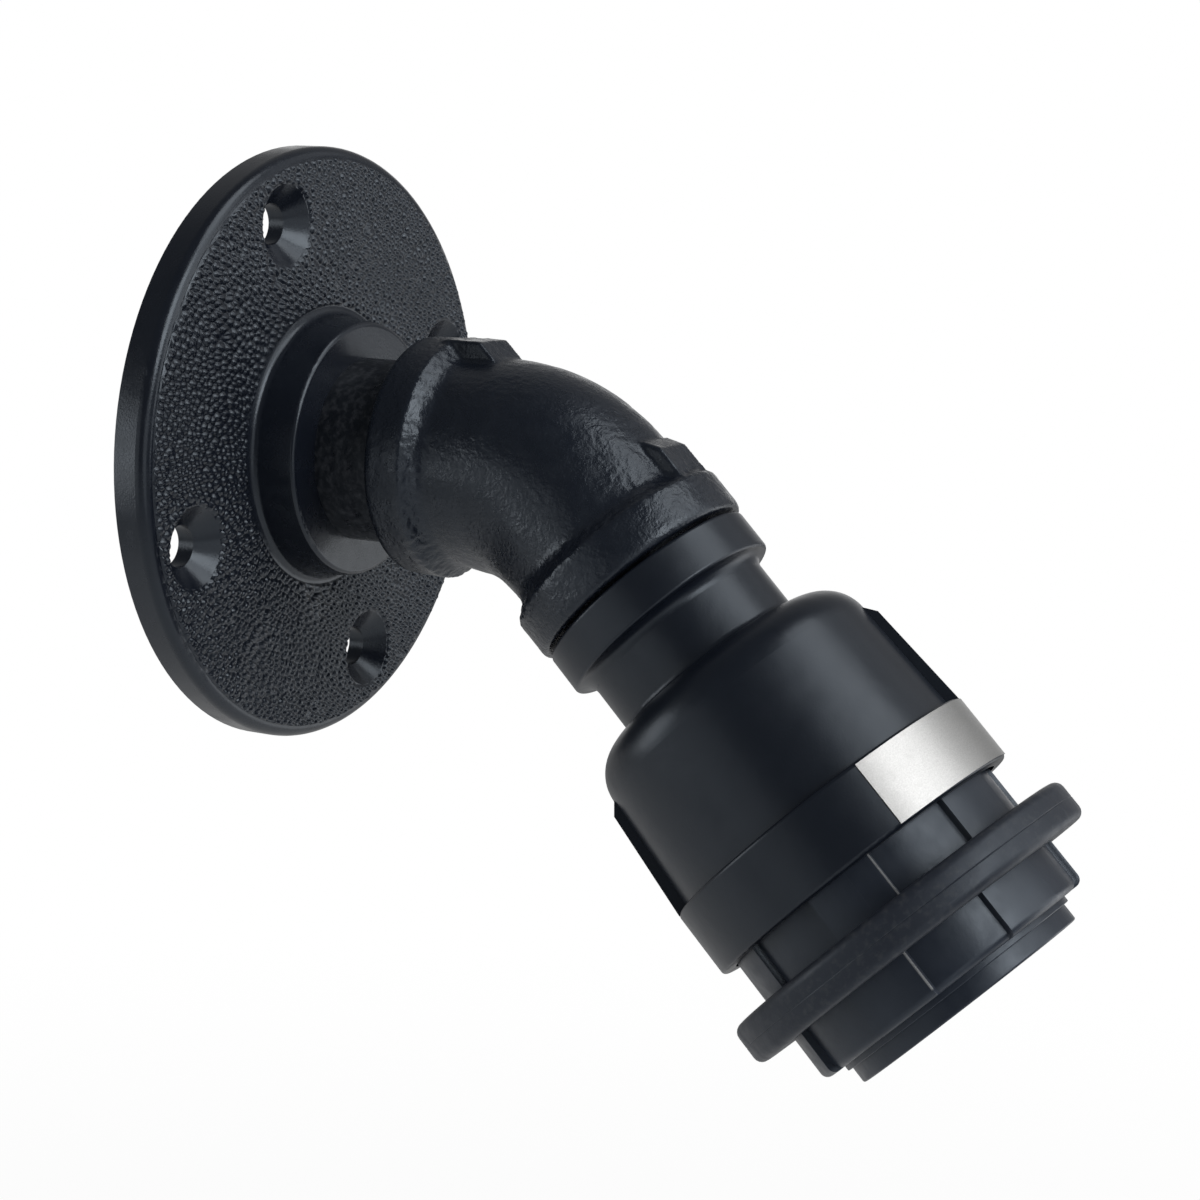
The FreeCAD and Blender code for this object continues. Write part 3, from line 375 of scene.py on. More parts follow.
class Paint:
    """One material with a Principled shader and a few helpers to build its nodes."""

    def __init__(self, name, color, roughness, **settings):
        self.material = bpy.data.materials.new(name)
        self.material.use_nodes = True
        self.tree = self.material.node_tree
        self.shader = self.tree.nodes["Principled BSDF"]
        self.set("Base Color", (*color, 1))
        self.set("Roughness", roughness)
        for label, value in settings.items():
            self.set(label.replace("_", " ").title().replace("Ior", "IOR"), value)
        self.place = self.add("ShaderNodeTexCoord").outputs["Object"]
        self.relief = None

    def set(self, label, value):
        self.shader.inputs[label].default_value = value

    def add(self, kind, **settings):
        node = self.tree.nodes.new(kind)
        for label, value in settings.items():
            setattr(node, label, value)
        return node

    def link(self, source, target):
        self.tree.links.new(source, target)

    def noise(self, pitch, detail=3.0, stretch=(1, 1, 1), tilt=0.0):
        """Noise with features about pitch long, in object space."""
        mapping = self.add("ShaderNodeMapping", vector_type="TEXTURE")
        mapping.inputs["Rotation"].default_value = (tilt, 0, 0)
        mapping.inputs["Scale"].default_value = [pitch * share for share in stretch]
        self.link(self.place, mapping.inputs["Vector"])
        texture = self.add("ShaderNodeTexNoise")
        texture.inputs["Scale"].default_value = 1.0
        texture.inputs["Detail"].default_value = detail
        self.link(mapping.outputs["Vector"], texture.inputs["Vector"])
        return texture.outputs["Fac"]

    def cells(self, pitch):
        """Distance from the nearest of many scattered points."""
        texture = self.add("ShaderNodeTexVoronoi")
        texture.inputs["Scale"].default_value = 1 / pitch
        self.link(self.place, texture.inputs["Vector"])
        return texture.outputs["Distance"]

    def vary(self, label, source, low, high):
        """Leads an input of the shader from low to high by a noise."""
        value = map_range(self.tree, source, NOISE_LOW, NOISE_HIGH, low, high)
        self.link(value, self.shader.inputs[label])

    def tint(self, source, first, second, start=NOISE_LOW, end=NOISE_HIGH):
        """Mixes two colours by the source's range from start to end."""
        mix = self.add("ShaderNodeMix", data_type="RGBA")
        self.link(map_range(self.tree, source, start, end, 0, 1), mix.inputs["Factor"])
        mix.inputs["A"].default_value = (*first, 1)
        mix.inputs["B"].default_value = (*second, 1)
        self.link(mix.outputs["Result"], self.shader.inputs["Base Color"])

    def add_painted_highlight(self, color):
        """Another colour, a painted highlight, where a mesh carries the mark of a step edge that catches the
        light.
        """
        under = self.shader.inputs["Base Color"].links[0].from_socket
        mix = self.add("ShaderNodeMix", data_type="RGBA")
        self.link(self.add("ShaderNodeAttribute", attribute_name="painted_highlight").outputs["Fac"], mix.inputs["Factor"])
        self.link(under, mix.inputs["A"])
        mix.inputs["B"].default_value = (*color, 1)
        self.link(mix.outputs["Result"], self.shader.inputs["Base Color"])

    def bump(self, source, height):
        """Adds a relief of that height to the ones before."""
        node = self.add("ShaderNodeBump")
        node.inputs["Strength"].default_value = 1.0
        node.inputs["Distance"].default_value = height
        self.link(source, node.inputs["Height"])
        if self.relief:
            self.link(self.relief, node.inputs["Normal"])
        self.relief = node.outputs["Normal"]
        self.link(self.relief, self.shader.inputs["Normal"])


FOIL_GRAIN_TILT = math.radians(-45)
BLACK_GLOSS = (0.80, 0.90, 1.0, 1)


def make_materials():
    """One material per slot, and copper for the bare strands. Pitches and heights are lengths."""
    made = {}

    paint = Paint("flange_cast", (0.0060, 0.0080, 0.0135), 0.27, specular_tint=BLACK_GLOSS)
    paint.tint(paint.noise(9 * MM), (0.0052, 0.0070, 0.0120), (0.0070, 0.0092, 0.0150))
    paint.vary("Roughness", paint.noise(2.5 * MM), 0.19, 0.30)
    paint.bump(paint.noise(0.28 * MM, 2), 0.015 * MM)
    made["flange_cast"] = paint

    paint = Paint("pipe_black", (0.008, 0.010, 0.014), 0.32, specular_tint=BLACK_GLOSS)
    paint.tint(paint.noise(0.9 * MM, 6), (0.0060, 0.0075, 0.0110), (0.040, 0.043, 0.050), 0.46, 0.74)
    paint.vary("Roughness", paint.noise(1.6 * MM, 4), 0.25, 0.5)
    paint.bump(paint.noise(0.8 * MM, 4), 0.05 * MM)
    made["pipe_black"] = paint

    paint = Paint("elbow_cast", (0.0075, 0.0100, 0.0165), 0.24, specular_tint=BLACK_GLOSS)
    paint.tint(paint.noise(6 * MM), (0.0068, 0.0092, 0.0152), (0.0084, 0.0112, 0.0180))
    paint.vary("Roughness", paint.noise(2.2 * MM, 4), 0.20, 0.38)
    paint.bump(paint.noise(0.8 * MM, 4), 0.10 * MM)
    paint.bump(paint.noise(0.36 * MM, 2), 0.05 * MM)
    made["elbow_cast"] = paint

    paint = Paint("cup_satin", (0.0052, 0.0074, 0.0130), 0.32, specular_tint=BLACK_GLOSS)
    paint.tint(paint.noise(14 * MM), (0.0048, 0.0068, 0.0120), (0.0056, 0.0080, 0.0140))
    paint.vary("Roughness", paint.noise(4 * MM, 4), 0.30, 0.36)
    paint.bump(paint.noise(0.35 * MM, 2), 0.008 * MM)
    paint.bump(paint.noise(7 * MM, 2), 0.10 * MM)
    made["cup_satin"] = paint

    paint = Paint("holder_black", (0.0135, 0.0180, 0.0280), 0.34, specular_tint=BLACK_GLOSS)
    paint.tint(paint.noise(5 * MM, 5), (0.0115, 0.0155, 0.0245), (0.0160, 0.0208, 0.0320))
    paint.vary("Roughness", paint.noise(2 * MM, 5), 0.28, 0.42)
    # Painted highlight: a light grey along the step edge that catches the light
    paint.add_painted_highlight((0.19, 0.195, 0.20))
    paint.bump(paint.noise(0.5 * MM, 3), 0.010 * MM)
    made["holder_black"] = paint

    paint = Paint("ring_black", (0.0175, 0.0208, 0.0300), 0.45,
                  specular_ior_level=0.38, specular_tint=BLACK_GLOSS)
    paint.tint(paint.noise(0.9 * MM, 6), (0.0165, 0.0198, 0.0285), (0.0310, 0.0340, 0.0410), 0.50, 0.72)
    paint.vary("Roughness", paint.noise(1.8 * MM, 5), 0.38, 0.54)
    paint.bump(paint.noise(0.6 * MM, 4), 0.02 * MM)
    made["ring_black"] = paint

    paint = Paint("foil", (0.42, 0.42, 0.416), 0.44, metallic=1.0)
    grain = paint.noise(0.22 * MM, 3, stretch=(5, 5, 0.5), tilt=FOIL_GRAIN_TILT)
    paint.vary("Roughness", grain, 0.38, 0.50)
    paint.tint(paint.noise(0.18 * MM, 3), (0.38, 0.38, 0.377), (0.46, 0.46, 0.455))
    paint.bump(grain, 0.006 * MM)
    made["foil"] = paint

    paint = Paint("zinc", (0.55, 0.56, 0.57), 0.34, metallic=1.0)
    paint.tint(paint.noise(2 * MM, 4), (0.45, 0.46, 0.47), (0.60, 0.61, 0.62))
    paint.vary("Roughness", paint.noise(1 * MM, 4), 0.26, 0.45)
    paint.bump(paint.noise(0.4 * MM, 3), 0.01 * MM)
    made["zinc"] = paint

    paint = Paint("brass", (0.72, 0.54, 0.24), 0.28, metallic=1.0)
    paint.tint(paint.noise(3 * MM, 4), (0.55, 0.39, 0.16), (0.78, 0.60, 0.30))
    paint.vary("Roughness", paint.noise(0.8 * MM, 4, stretch=(5, 1, 1)), 0.20, 0.38)
    paint.bump(paint.noise(0.5 * MM, 3, stretch=(5, 1, 1)), 0.006 * MM)
    made["brass"] = paint

    paint = Paint("nickel_brass", (0.62, 0.60, 0.54), 0.24, metallic=1.0)
    paint.tint(paint.noise(3 * MM, 4), (0.52, 0.49, 0.41), (0.68, 0.66, 0.61))
    paint.vary("Roughness", paint.noise(1 * MM, 4), 0.16, 0.34)
    paint.bump(paint.noise(0.6 * MM, 3), 0.006 * MM)
    made["nickel_brass"] = paint

    paint = Paint("porcelain", (0.78, 0.76, 0.71), 0.22, coat_weight=0.5, coat_roughness=0.08)
    paint.tint(paint.cells(0.8 * MM), (0.62, 0.58, 0.52), (0.80, 0.78, 0.73), 0.02, 0.12)
    paint.vary("Roughness", paint.noise(2 * MM, 3), 0.16, 0.3)
    paint.bump(paint.noise(1.5 * MM, 3), 0.03 * MM)
    made["porcelain"] = paint

    for name, color, dark in (
            ("lead_sheath", (0.022, 0.022, 0.023), (0.016, 0.016, 0.017)),
            ("core_brown", (0.17, 0.065, 0.03), (0.13, 0.045, 0.02)),
            ("core_blue", (0.03, 0.12, 0.45), (0.02, 0.09, 0.36))):
        paint = Paint(name, color, 0.45)
        paint.tint(paint.noise(3 * MM, 3), dark, color)
        paint.vary("Roughness", paint.noise(1 * MM, 3), 0.38, 0.52)
        paint.bump(paint.noise(0.4 * MM, 2), 0.006 * MM)
        made[name] = paint

    paint = Paint("core_earth", (0.16, 0.42, 0.06), 0.45)
    bands = paint.add("ShaderNodeTexWave", wave_type="BANDS", bands_direction="DIAGONAL")
    bands.inputs["Scale"].default_value = 1 / (6 * MM)
    paint.link(paint.place, bands.inputs["Vector"])
    paint.tint(bands.outputs["Fac"], (0.13, 0.36, 0.05), (0.72, 0.60, 0.05), 0.60, 0.66)
    paint.vary("Roughness", paint.noise(1 * MM, 3), 0.38, 0.52)
    made["core_earth"] = paint

    paint = Paint("copper", (0.80, 0.36, 0.20), 0.3, metallic=1.0)
    paint.tint(paint.noise(0.8 * MM, 3), (0.62, 0.26, 0.13), (0.86, 0.42, 0.25))
    made["copper"] = paint
    return {name: paint.material for name, paint in made.items()}


# Pieces

def scattered(cell_x, cell_y, factors):
    """Where a pebble's middle lies in its cell, the same at every run."""
    chance = np.sin(cell_x * factors[0] + cell_y * factors[1] + SEED) * SCATTER_SCALE % 1
    return PEBBLE_MARGIN + PEBBLE_JITTER * chance


def pebble_height(points):
    """Relief of the plate's face: rounded pebbles parted by narrow valleys, from 0 to 1."""
    flat = np.c_[points, np.zeros(len(points))]
    drift_x, drift_y = (PEBBLE_DRIFT * field(flat, PEBBLE_DRIFT_PITCH, shift)
                        for shift in PEBBLE_DRIFT_SHIFTS)
    level, upright = points[:, 0] / PEBBLE_STRETCH / PEBBLE_PITCH, points[:, 1] / PEBBLE_PITCH
    across = level * math.cos(PEBBLE_TURN) - upright * math.sin(PEBBLE_TURN) + drift_x
    along = level * math.sin(PEBBLE_TURN) + upright * math.cos(PEBBLE_TURN) + drift_y
    nearest = np.full(len(points), np.inf)
    second = np.full(len(points), np.inf)
    for step_x in (-1, 0, 1):
        for step_y in (-1, 0, 1):
            cell_x, cell_y = np.floor(across) + step_x, np.floor(along) + step_y
            gap = np.hypot(cell_x + scattered(cell_x, cell_y, SCATTER_ACROSS) - across,
                           cell_y + scattered(cell_x, cell_y, SCATTER_ALONG) - along)
            second = np.minimum(second, np.maximum(nearest, gap))
            nearest = np.minimum(nearest, gap)
    dome = np.clip(1 - (nearest / PEBBLE_DOME) ** 2, 0, 1) ** PEBBLE_DOME_POWER
    return dome * (1 - VALLEY_DEPTH + VALLEY_DEPTH * ramp(second - nearest, 0.0, VALLEY_WIDTH))


def loops_of(edges):
    """Closed loops of vertex indices along boundary edges."""
    follow = {}
    for first, second in edges:
        follow.setdefault(first, []).append(second)
        follow.setdefault(second, []).append(first)
    loops, left = [], set(follow)
    while left:
        start = min(left)
        loop, here, before = [start], start, None
        left.discard(start)
        while True:
            ahead = [other for other in follow[here] if other != before and other in left]
            if not ahead:
                break
            before, here = here, ahead[0]
            left.discard(here)
            loop.append(here)
        loops.append(loop)
    return loops


def plate_face(work):
    """Faces and level of the plate's front: the largest flat area behind the hub's front."""
    hub_front = max(vertex.co.z for vertex in work.verts)
    levels = {}
    for face in work.faces:
        place = face.calc_center_median().z
        if face.normal.z > FACES_ROOM and place < hub_front - WELL_CLEAR:
            level = round(place / MM, 2)
            levels[level] = levels.get(level, 0) + face.calc_area()
    face_level = max(levels, key=levels.get) * MM
    flat = [face for face in work.faces if face.normal.z > FACES_ROOM
            and abs(face.calc_center_median().z - face_level) < PLATE_LEVEL_PLAY]
    return flat, face_level


def outlines(work, faces):
    """The vertices round a group of faces and round each hole in it."""
    inside = set(faces)
    border = [edge for face in faces for edge in face.edges
              if sum(other in inside for other in edge.link_faces) == 1]
    work.verts.index_update()
    loops = loops_of([(edge.verts[0].index, edge.verts[1].index) for edge in dict.fromkeys(border)])
    work.verts.ensure_lookup_table()
    return [[work.verts[index] for index in loop] for loop in loops]


def triangle_grid(radius, pitch):
    """Points of an even grid of triangles that covers a circle round the origin."""
    count = int(radius / pitch * 2 / math.sqrt(3)) + 1
    rows = np.arange(-count, count + 1)
    grid_x, grid_y = np.meshgrid(rows * pitch, rows * pitch * math.sqrt(3) / 2)
    grid_x = grid_x + (np.arange(len(rows)) % 2)[:, None] * pitch / 2
    return np.c_[grid_x.ravel(), grid_y.ravel()]


def pebbled_points(rim_centre, rim_radius, holes):
    """Points of the plate's face between its rim and its holes, and the height of each."""
    points = triangle_grid(rim_radius, FACE_MESH_PITCH)
    clear = rim_radius - np.hypot(*(points - rim_centre).T)
    calm = ramp(clear, 0, PEBBLE_RIM_FADE)
    for centre, radius in holes:
        away = np.hypot(*(points - centre).T) - radius
        clear = np.minimum(clear, away)
        calm = np.minimum(calm, ramp(away, 0, PEBBLE_HOLE_FADE))
    kept = clear > FACE_MESH_PITCH * RIM_CLEARANCE
    return points[kept], pebble_height(points[kept]) * calm[kept] * PEBBLE_HEIGHT


def make_flange(material):
    """The CAD flange with the flat of its plate cut out and a pebbled one of the same outline put in."""
    source = frame["nodes"]["wall_flange"].data
    work = bmesh.new()
    work.from_mesh(source)
    work.transform(WALL.inverted())
    bmesh.ops.remove_doubles(work, verts=work.verts, dist=PLATE_WELD)
    flat, face_level = plate_face(work)
    loops = outlines(work, flat)
    rims = [np.array([vertex.co[:2] for vertex in loop]) for loop in loops]
    holes = [((rim.max(0) + rim.min(0)) / 2, np.ptp(rim[:, 0]) / 2) for rim in rims]
    rim_centre, rim_radius = holes.pop(int(np.argmax([radius for _, radius in holes])))
    points, height = pebbled_points(rim_centre, rim_radius, holes)

    edges = []
    base = len(points)
    for rim in rims:
        edges += [(base + step, base + (step + 1) % len(rim)) for step in range(len(rim))]
        base += len(rim)
    flat_points = [Vector(point) for point in np.concatenate([points, *rims])]
    new_points, _, faces, origins, _, _ = delaunay_2d_cdt(flat_points, edges, [], 0, TRIANGLE_EPSILON)

    bmesh.ops.delete(work, geom=flat, context="FACES_ONLY")
    rim_vertices = [vertex for loop in loops for vertex in loop]
    vertices = []
    for point, numbers in zip(new_points, origins):
        if numbers[0] < len(points):
            vertices.append(work.verts.new((point.x, point.y, face_level + height[numbers[0]])))
        else:
            vertices.append(rim_vertices[numbers[0] - len(points)])
    for face in faces:
        middle = sum((new_points[index] for index in face), Vector((0, 0))) / len(face)
        in_hole = any((middle - Vector(centre)).length < radius - HOLE_EDGE_PLAY for centre, radius in holes)
        corners = [vertices[index] for index in face]
        if not in_hole and middle.length < rim_radius and not work.faces.get(corners):
            work.faces.new(corners)
    work.transform(WALL)
    mesh = bpy.data.meshes.new("flange_casting")
    work.to_mesh(mesh)
    work.free()
    outward(mesh)
    keep_normals(smooth(mesh, FLANGE_SHARP), source)
    add_piece("flange_casting", mesh, "wall_mount", material, ["wall_flange"])


def arm_distance(offset):
    """Distance of each point from the elbow's two centre lines, and how far out along an arm it lies."""
    reaches, along = [], []
    for direction in (np.array(-wall_direction), np.array(lamp_direction)):
        place = offset @ direction
        reaches.append(np.linalg.norm(offset - np.outer(np.maximum(place, 0), direction), axis=1))
        along.append(place)
    return np.minimum(*reaches), np.maximum(*along)


def make_elbow(material):
    """The CAD elbow on an even mesh, with the lumps and runs of thick paint on a rough casting."""
    mesh = gridded("elbow_casting", "elbow", ELBOW_MESH_PITCH, ELBOW_SETTLE_STEPS)
    points, normals = rows_of(mesh.vertices, "co"), rows_of(mesh.vertex_normals, "vector")
    offset = points - np.array(bend_centre)
    reached, along = arm_distance(offset)
    outside = ramp(reached, PASSAGE_CLEAR, CASTING_FULL)
    off_face = ramp(COLLAR_REACH - along, END_PLAIN, END_RELIEF_FULL)
    lumps = field(points, LUMP_PITCH) - RELIEF_SINK
    drips = field(points, DRIP_PITCH, DRIP_SHIFT) - RELIEF_SINK
    rough = ramp(field(points, PATCH_PITCH, PATCH_SHIFT), PATCH_START, PATCH_FULL)
    shoulder = SHOULDER_ROUGH * np.exp(-((along - SHOULDER_ALONG) / SHOULDER_SPREAD) ** 2)
    drip_share = DRIP_SMOOTH_SHARE + DRIP_ROUGH_SHARE * rough + shoulder
    relief = (LUMP_HEIGHT * lumps + DRIP_HEIGHT * drip_share * drips) * outside * off_face

    inward = (lamp_direction - wall_direction).normalized()
    from_throat = np.linalg.norm(points - np.array(bend_centre + inward * THROAT_OUT), axis=1)
    throat = THROAT_FILL * np.exp(-(from_throat / THROAT_SPREAD) ** 2 / 2) * outside
    cup_end = CUP_END_FILL * ramp(offset @ np.array(lamp_direction), COLLAR_REACH - CUP_END_FILL_START,
                                  COLLAR_REACH - CUP_END_FILL_FULL)
    moved = points + normals * relief[:, None]
    moved = moved + np.outer(throat, np.array(inward)) + np.outer(cup_end, np.array(lamp_direction))
    mesh.vertices.foreach_set("co", moved.astype(np.float32).ravel())
    mesh.update()
    mesh.shade_smooth()
    add_piece("elbow_casting", mesh, "elbow_arm", material, ["elbow"])


def recess_share(angles, middle):
    """1 in a recessed segment and 0 on a raised one, with a narrow rounded step between."""
    pitch = 360 / SEGMENTS
    off = np.abs((np.degrees(angles) - middle + pitch / 2) % pitch - pitch / 2)
    return 1 - ramp(off, (RECESS_ANGLE - STEP_WIDTH_ANGLE) / 2, (RECESS_ANGLE + STEP_WIDTH_ANGLE) / 2)


def step_angles():
    """Even angles round the axis, with a few more at every step of the skirt."""
    angles = list(even_angles(SKIRT_ANGLES))
    for middle in (UPPER_RECESS_ANGLE, LOWER_RECESS_ANGLE):
        for segment in range(SEGMENTS):
            for side in (-RECESS_ANGLE / 2, RECESS_ANGLE / 2):
                edge = middle + segment * 360 / SEGMENTS + side
                angles += [math.radians(edge + share * STEP_WIDTH_ANGLE) for share in STEP_SHARES]
    return np.unique(np.round(np.array(angles) % (2 * math.pi), 5))


def painted_highlight_share(angles, middle):
    """1 along one step edge, which is the far one of the recess at the middle, where a highlight of the light that
    edge catches is painted.
    """
    past = (np.degrees(angles) - middle - RECESS_ANGLE / 2) / STEP_WIDTH_ANGLE
    return ((past > PAINTED_HIGHLIGHT_START) & (past < PAINTED_HIGHLIGHT_END)).astype(float)


def make_skirt(material):
    """The holder's skirt with raised and recessed segments, its ledge, spigot and lip."""
    points = local_points("holder_skirt", LAMP)
    radius, place = reach(points), points[:, 2]
    outer, end, top = radius.max(), place.max(), place.min()
    skirt_top = place[radius > outer - NEAR].min()
    spigot = radius[place < skirt_top - WELL_CLEAR].max()
    bore = radius[place > end - LIP_MOUTH].min()
    lip = radius[place > end - WELL_CLEAR].max()
    seat = radius[place < skirt_top].min()
    inner = radius.min()
    disc = lip + LIP_DISC_STAND
    disc_top = np.median(place[np.abs(radius - disc) < LIP_DISC_PLAY]) - LIP_DISC_HEIGHT / 2
    foot_top = disc_top - SKIRT_FOOT_ROUND
    ledge = place[radius < inner + NEAR]
    ledge_top, ledge_end = ledge.min(), ledge.max()
    ring = local_points("shade_ring", LAMP)[:, 2]
    split = (ring.min() + ring.max()) / 2
    recess_top = local_points("lamp_cup", LAMP)[:, 2].max() - RECESS_ABOVE_MOUTH

    angles = step_angles()
    upper = SKIRT_STEP * recess_share(angles, UPPER_RECESS_ANGLE)
    lower = SKIRT_STEP * recess_share(angles, LOWER_RECESS_ANGLE)
    inside = rounded([(inner, ledge_end), (inner, ledge_top), (seat, ledge_top), (seat, top), (spigot, top),
                      (spigot, skirt_top), (outer, skirt_top), (outer, recess_top)])
    rows = turned_rows(inside, angles)
    plain_rows = len(rows)
    for level, depth in ((recess_top, upper), (split, upper), (split, lower), (foot_top, lower)):
        rows.append([(outer - cut, angle, level) for cut, angle in zip(depth, angles)])
    for step in range(1, SKIRT_FOOT_STEPS + 1):
        turn = step / SKIRT_FOOT_STEPS * math.pi / 2
        fall = SKIRT_FOOT_ROUND * (1 - math.cos(turn))
        level = foot_top + SKIRT_FOOT_ROUND * math.sin(turn)
        rows.append([(outer - cut - fall, angle, level) for cut, angle in zip(lower, angles)])
    outside = rounded([(disc, disc_top), (disc, disc_top + LIP_DISC_HEIGHT, EDGE_ROUND / 2),
                       (lip, disc_top + LIP_DISC_HEIGHT), (lip, end, EDGE_ROUND),
                       (bore, end, EDGE_ROUND), (bore, ledge_end)])
    rows += turned_rows(outside, angles)
    # Painted highlight along the one lit step edge in the segments above and below the ring
    highlight_marks = np.zeros((len(rows), len(angles)))
    highlight_marks[plain_rows:plain_rows + 2] = painted_highlight_share(angles, UPPER_RECESS_ANGLE)
    highlight_marks[plain_rows + 2:plain_rows + 4] = painted_highlight_share(angles, LOWER_RECESS_ANGLE)
    mesh = polar_mesh("skirt_moulding", rows, LAMP)
    mesh.attributes.new("painted_highlight", "FLOAT", "POINT").data.foreach_set("value", highlight_marks.ravel())
    add_piece("skirt_moulding", mesh, "lamp_head", material, ["holder_skirt"])


def make_ring(material):
    """The shade ring, with the parting line of its mould round the middle of the rim."""
    points = local_points("shade_ring", LAMP)
    radius, place = reach(points), points[:, 2]
    outer, bore, top, end = radius.max(), radius.min(), place.min(), place.max()
    split = (top + end) / 2
    half = PARTING_WIDTH / 2
    profile = rounded([
        (bore, top, EDGE_ROUND), (outer, top, RING_ROUND), (outer, split - half, half / 2),
        (outer - PARTING_DEPTH, split), (outer, split + half, half / 2),
        (outer, end, RING_ROUND), (bore, end, EDGE_ROUND)])
    mesh = polar_mesh("ring_moulding", turned_rows(profile, even_angles(RING_ANGLES)), LAMP)
    add_piece("ring_moulding", mesh, "ring", material, ["shade_ring"])


def make_shell(material):
    """The brass screw shell with its rolled rope thread."""
    points = local_points("screw_shell", LAMP)
    radius, place = reach(points), points[:, 2]
    outer, inner, top, end = radius.max(), radius.min(), place.min(), place.max()
    pitch = INCH / SHELL_TURNS_PER_INCH
    angles = even_angles(SHELL_ANGLES)
    levels = np.linspace(top + SHELL_THICKNESS, end, SHELL_LEVELS)

    def wave(level, angle):
        """How deep the rope thread lies at a point, with plain ends."""
        depth = SHELL_THREAD_DEPTH * ramp(level, levels[0], levels[0] + SHELL_PLAIN)
        depth = depth * ramp(end - level, 0, SHELL_PLAIN)
        return depth * (0.5 - 0.5 * np.cos(2 * math.pi * (level / pitch - angle / 2 / math.pi)))

    rows = [[(outer - wave(level, angle), angle, level) for angle in angles] for level in levels]
    rows += [[(outer - SHELL_THICKNESS - wave(level, angle), angle, level) for angle in angles]
             for level in levels[::-1]]
    rows += turned_rows([(inner, top + SHELL_THICKNESS), (inner, top), (outer, top)], angles)
    mesh = polar_mesh("screw_shell_rolled", rows, LAMP)
    add_piece("screw_shell_rolled", mesh, "lamp_head", material, ["screw_shell"])


def tube_along(name, path, radius):
    """A tube with flat ends along a smooth run past a few points."""
    curve = bpy.data.curves.new(name, "CURVE")
    curve.dimensions = "3D"
    curve.bevel_depth = radius
    curve.bevel_resolution = TUBE_BEVEL_STEPS
    curve.use_fill_caps = True
    spline = curve.splines.new("NURBS")
    spline.points.add(len(path) - 1)
    for point, place in zip(spline.points, path):
        point.co = (*place, 1)
    spline.order_u = TUBE_ORDER
    spline.use_endpoint_u = True
    curve.resolution_u = TUBE_RUN_STEPS
    helper = bpy.data.objects.new(name, curve)
    bpy.context.scene.collection.objects.link(helper)
    return smooth(settled_mesh(helper, name))


def along_axis(axes, levels, side=(0, 0)):
    """Points in the row frame at levels along an axis, moved to a side of it."""
    return [axes @ Vector((*side, level)) for level in levels]


def make_lead(materials):
    """The sheathed lead along both axes and its three coloured tails behind the flange."""
    points = local_points("internal_lead", WALL)
    cable = -points[:, 0].min()
    sheath_start = points[reach(points) > cable - NEAR, 2].min()
    tail_start = points[:, 2].min()
    lead_end = local_points("internal_lead", LAMP)[:, 2].max()
    corner = (WALL.inverted() @ bend_centre).z
    path = along_axis(WALL, (sheath_start, (sheath_start + corner) / 2, corner - LEAD_BEND_START))
    path += [bend_centre] + along_axis(LAMP, (LEAD_BEND_START, LEAD_BEND_END, lead_end))
    sheath = tube_along("lead_sheath_run", path, cable)
    add_piece("lead_sheath_run", sheath, "elbow_arm", materials["lead_sheath"],
              ["internal_lead"])
    out = cable - CORE_RADIUS - SHEATH_WALL
    for name, side in (("core_brown", (out, 0)), ("core_blue", (-out, 0)), ("core_earth", (0, out))):
        run = along_axis(WALL, (sheath_start + TAIL_TUCK, (sheath_start + tail_start) / 2,
                                tail_start + TAIL_BARE), side)
        tail = tube_along("tail_" + name, run, CORE_RADIUS)
        add_piece("tail_" + name, tail, "elbow_arm", materials[name])
        bare = along_axis(WALL, (tail_start + STRAND_TUCK, tail_start + STRAND_MIDDLE, tail_start), side)
        strands = tube_along("strands_" + name, bare, STRAND_RADIUS)
        add_piece("strands_" + name, strands, "elbow_arm", materials["copper"])


def dress_cad_nodes(materials):
    """Every CAD node gets the finish of its slot."""
    slots = {part["node"]: part["material_slot"] for part in frame["record"]["subparts"]}
    for name, node in frame["nodes"].items():
        node.data.materials.clear()
        node.data.materials.append(materials[slots[name]])
        smooth(node.data, NODE_SHARP)


# Studio

FLOOR_LEVEL = -0.45
FLOOR_SIZE = 6.0
FLOOR_WHITE = 0.86
FLOOR_ROUGHNESS = 0.9
FLOOR_SEEN_WHITE = 0.9
FLOOR_FADE_START = 0.4
FLOOR_FADE_END = 1.3
FLOOR_MIRRORED_WHITE = 0.2
AMBIENT = 0.12
AMBIENT_AHEAD = 0.24
AMBIENT_FULL_ANGLE = 62
AMBIENT_END_ANGLE = 88
BACKDROP_DIRECTION = (0.878, 0.449, -0.167)
BACKDROP_FULL_ANGLE = 8
BACKDROP_END_ANGLE = 38
LAMP_DISTANCE = 0.9
LAMP_SIZE = 0.55
LAMP_AIM = Vector((0, -0.06, -0.02))
LAMPS = {
    "front_left": ((-0.26, -0.81, 0.53), 3.6),
    "front_right": ((0.28, -0.85, 0.45), 1.3),
    "low_front": ((0.59, -0.81, 0.0), 1.2),
    "low_left": ((-0.59, -0.81, 0.0), 0.55),
    "low_right": ((0.78, -0.55, -0.30), 0.75),
    "overhead": ((0.16, -0.50, 0.85), 2.0),
    "high_right": ((0.69, -0.50, 0.53), 0.25),
    "far_left": ((-0.95, 0.31, 0.0), 0.35),
    "back_left": ((-0.59, 0.81, 0.0), 1.9),
}


def add_lamp(name, towards, energy):
    """A round soft lamp in a direction from the light, turned to it."""
    data = bpy.data.lights.new(name, "AREA")
    data.shape = "DISK"
    data.size = LAMP_SIZE
    data.energy = energy
    lamp = bpy.data.objects.new(name, data)
    bpy.context.scene.collection.objects.link(lamp)
    back = Vector(towards).normalized()
    lamp.location = LAMP_AIM + back * LAMP_DISTANCE
    lamp.rotation_mode = "QUATERNION"
    lamp.rotation_quaternion = back.to_track_quat("Z", "Y")


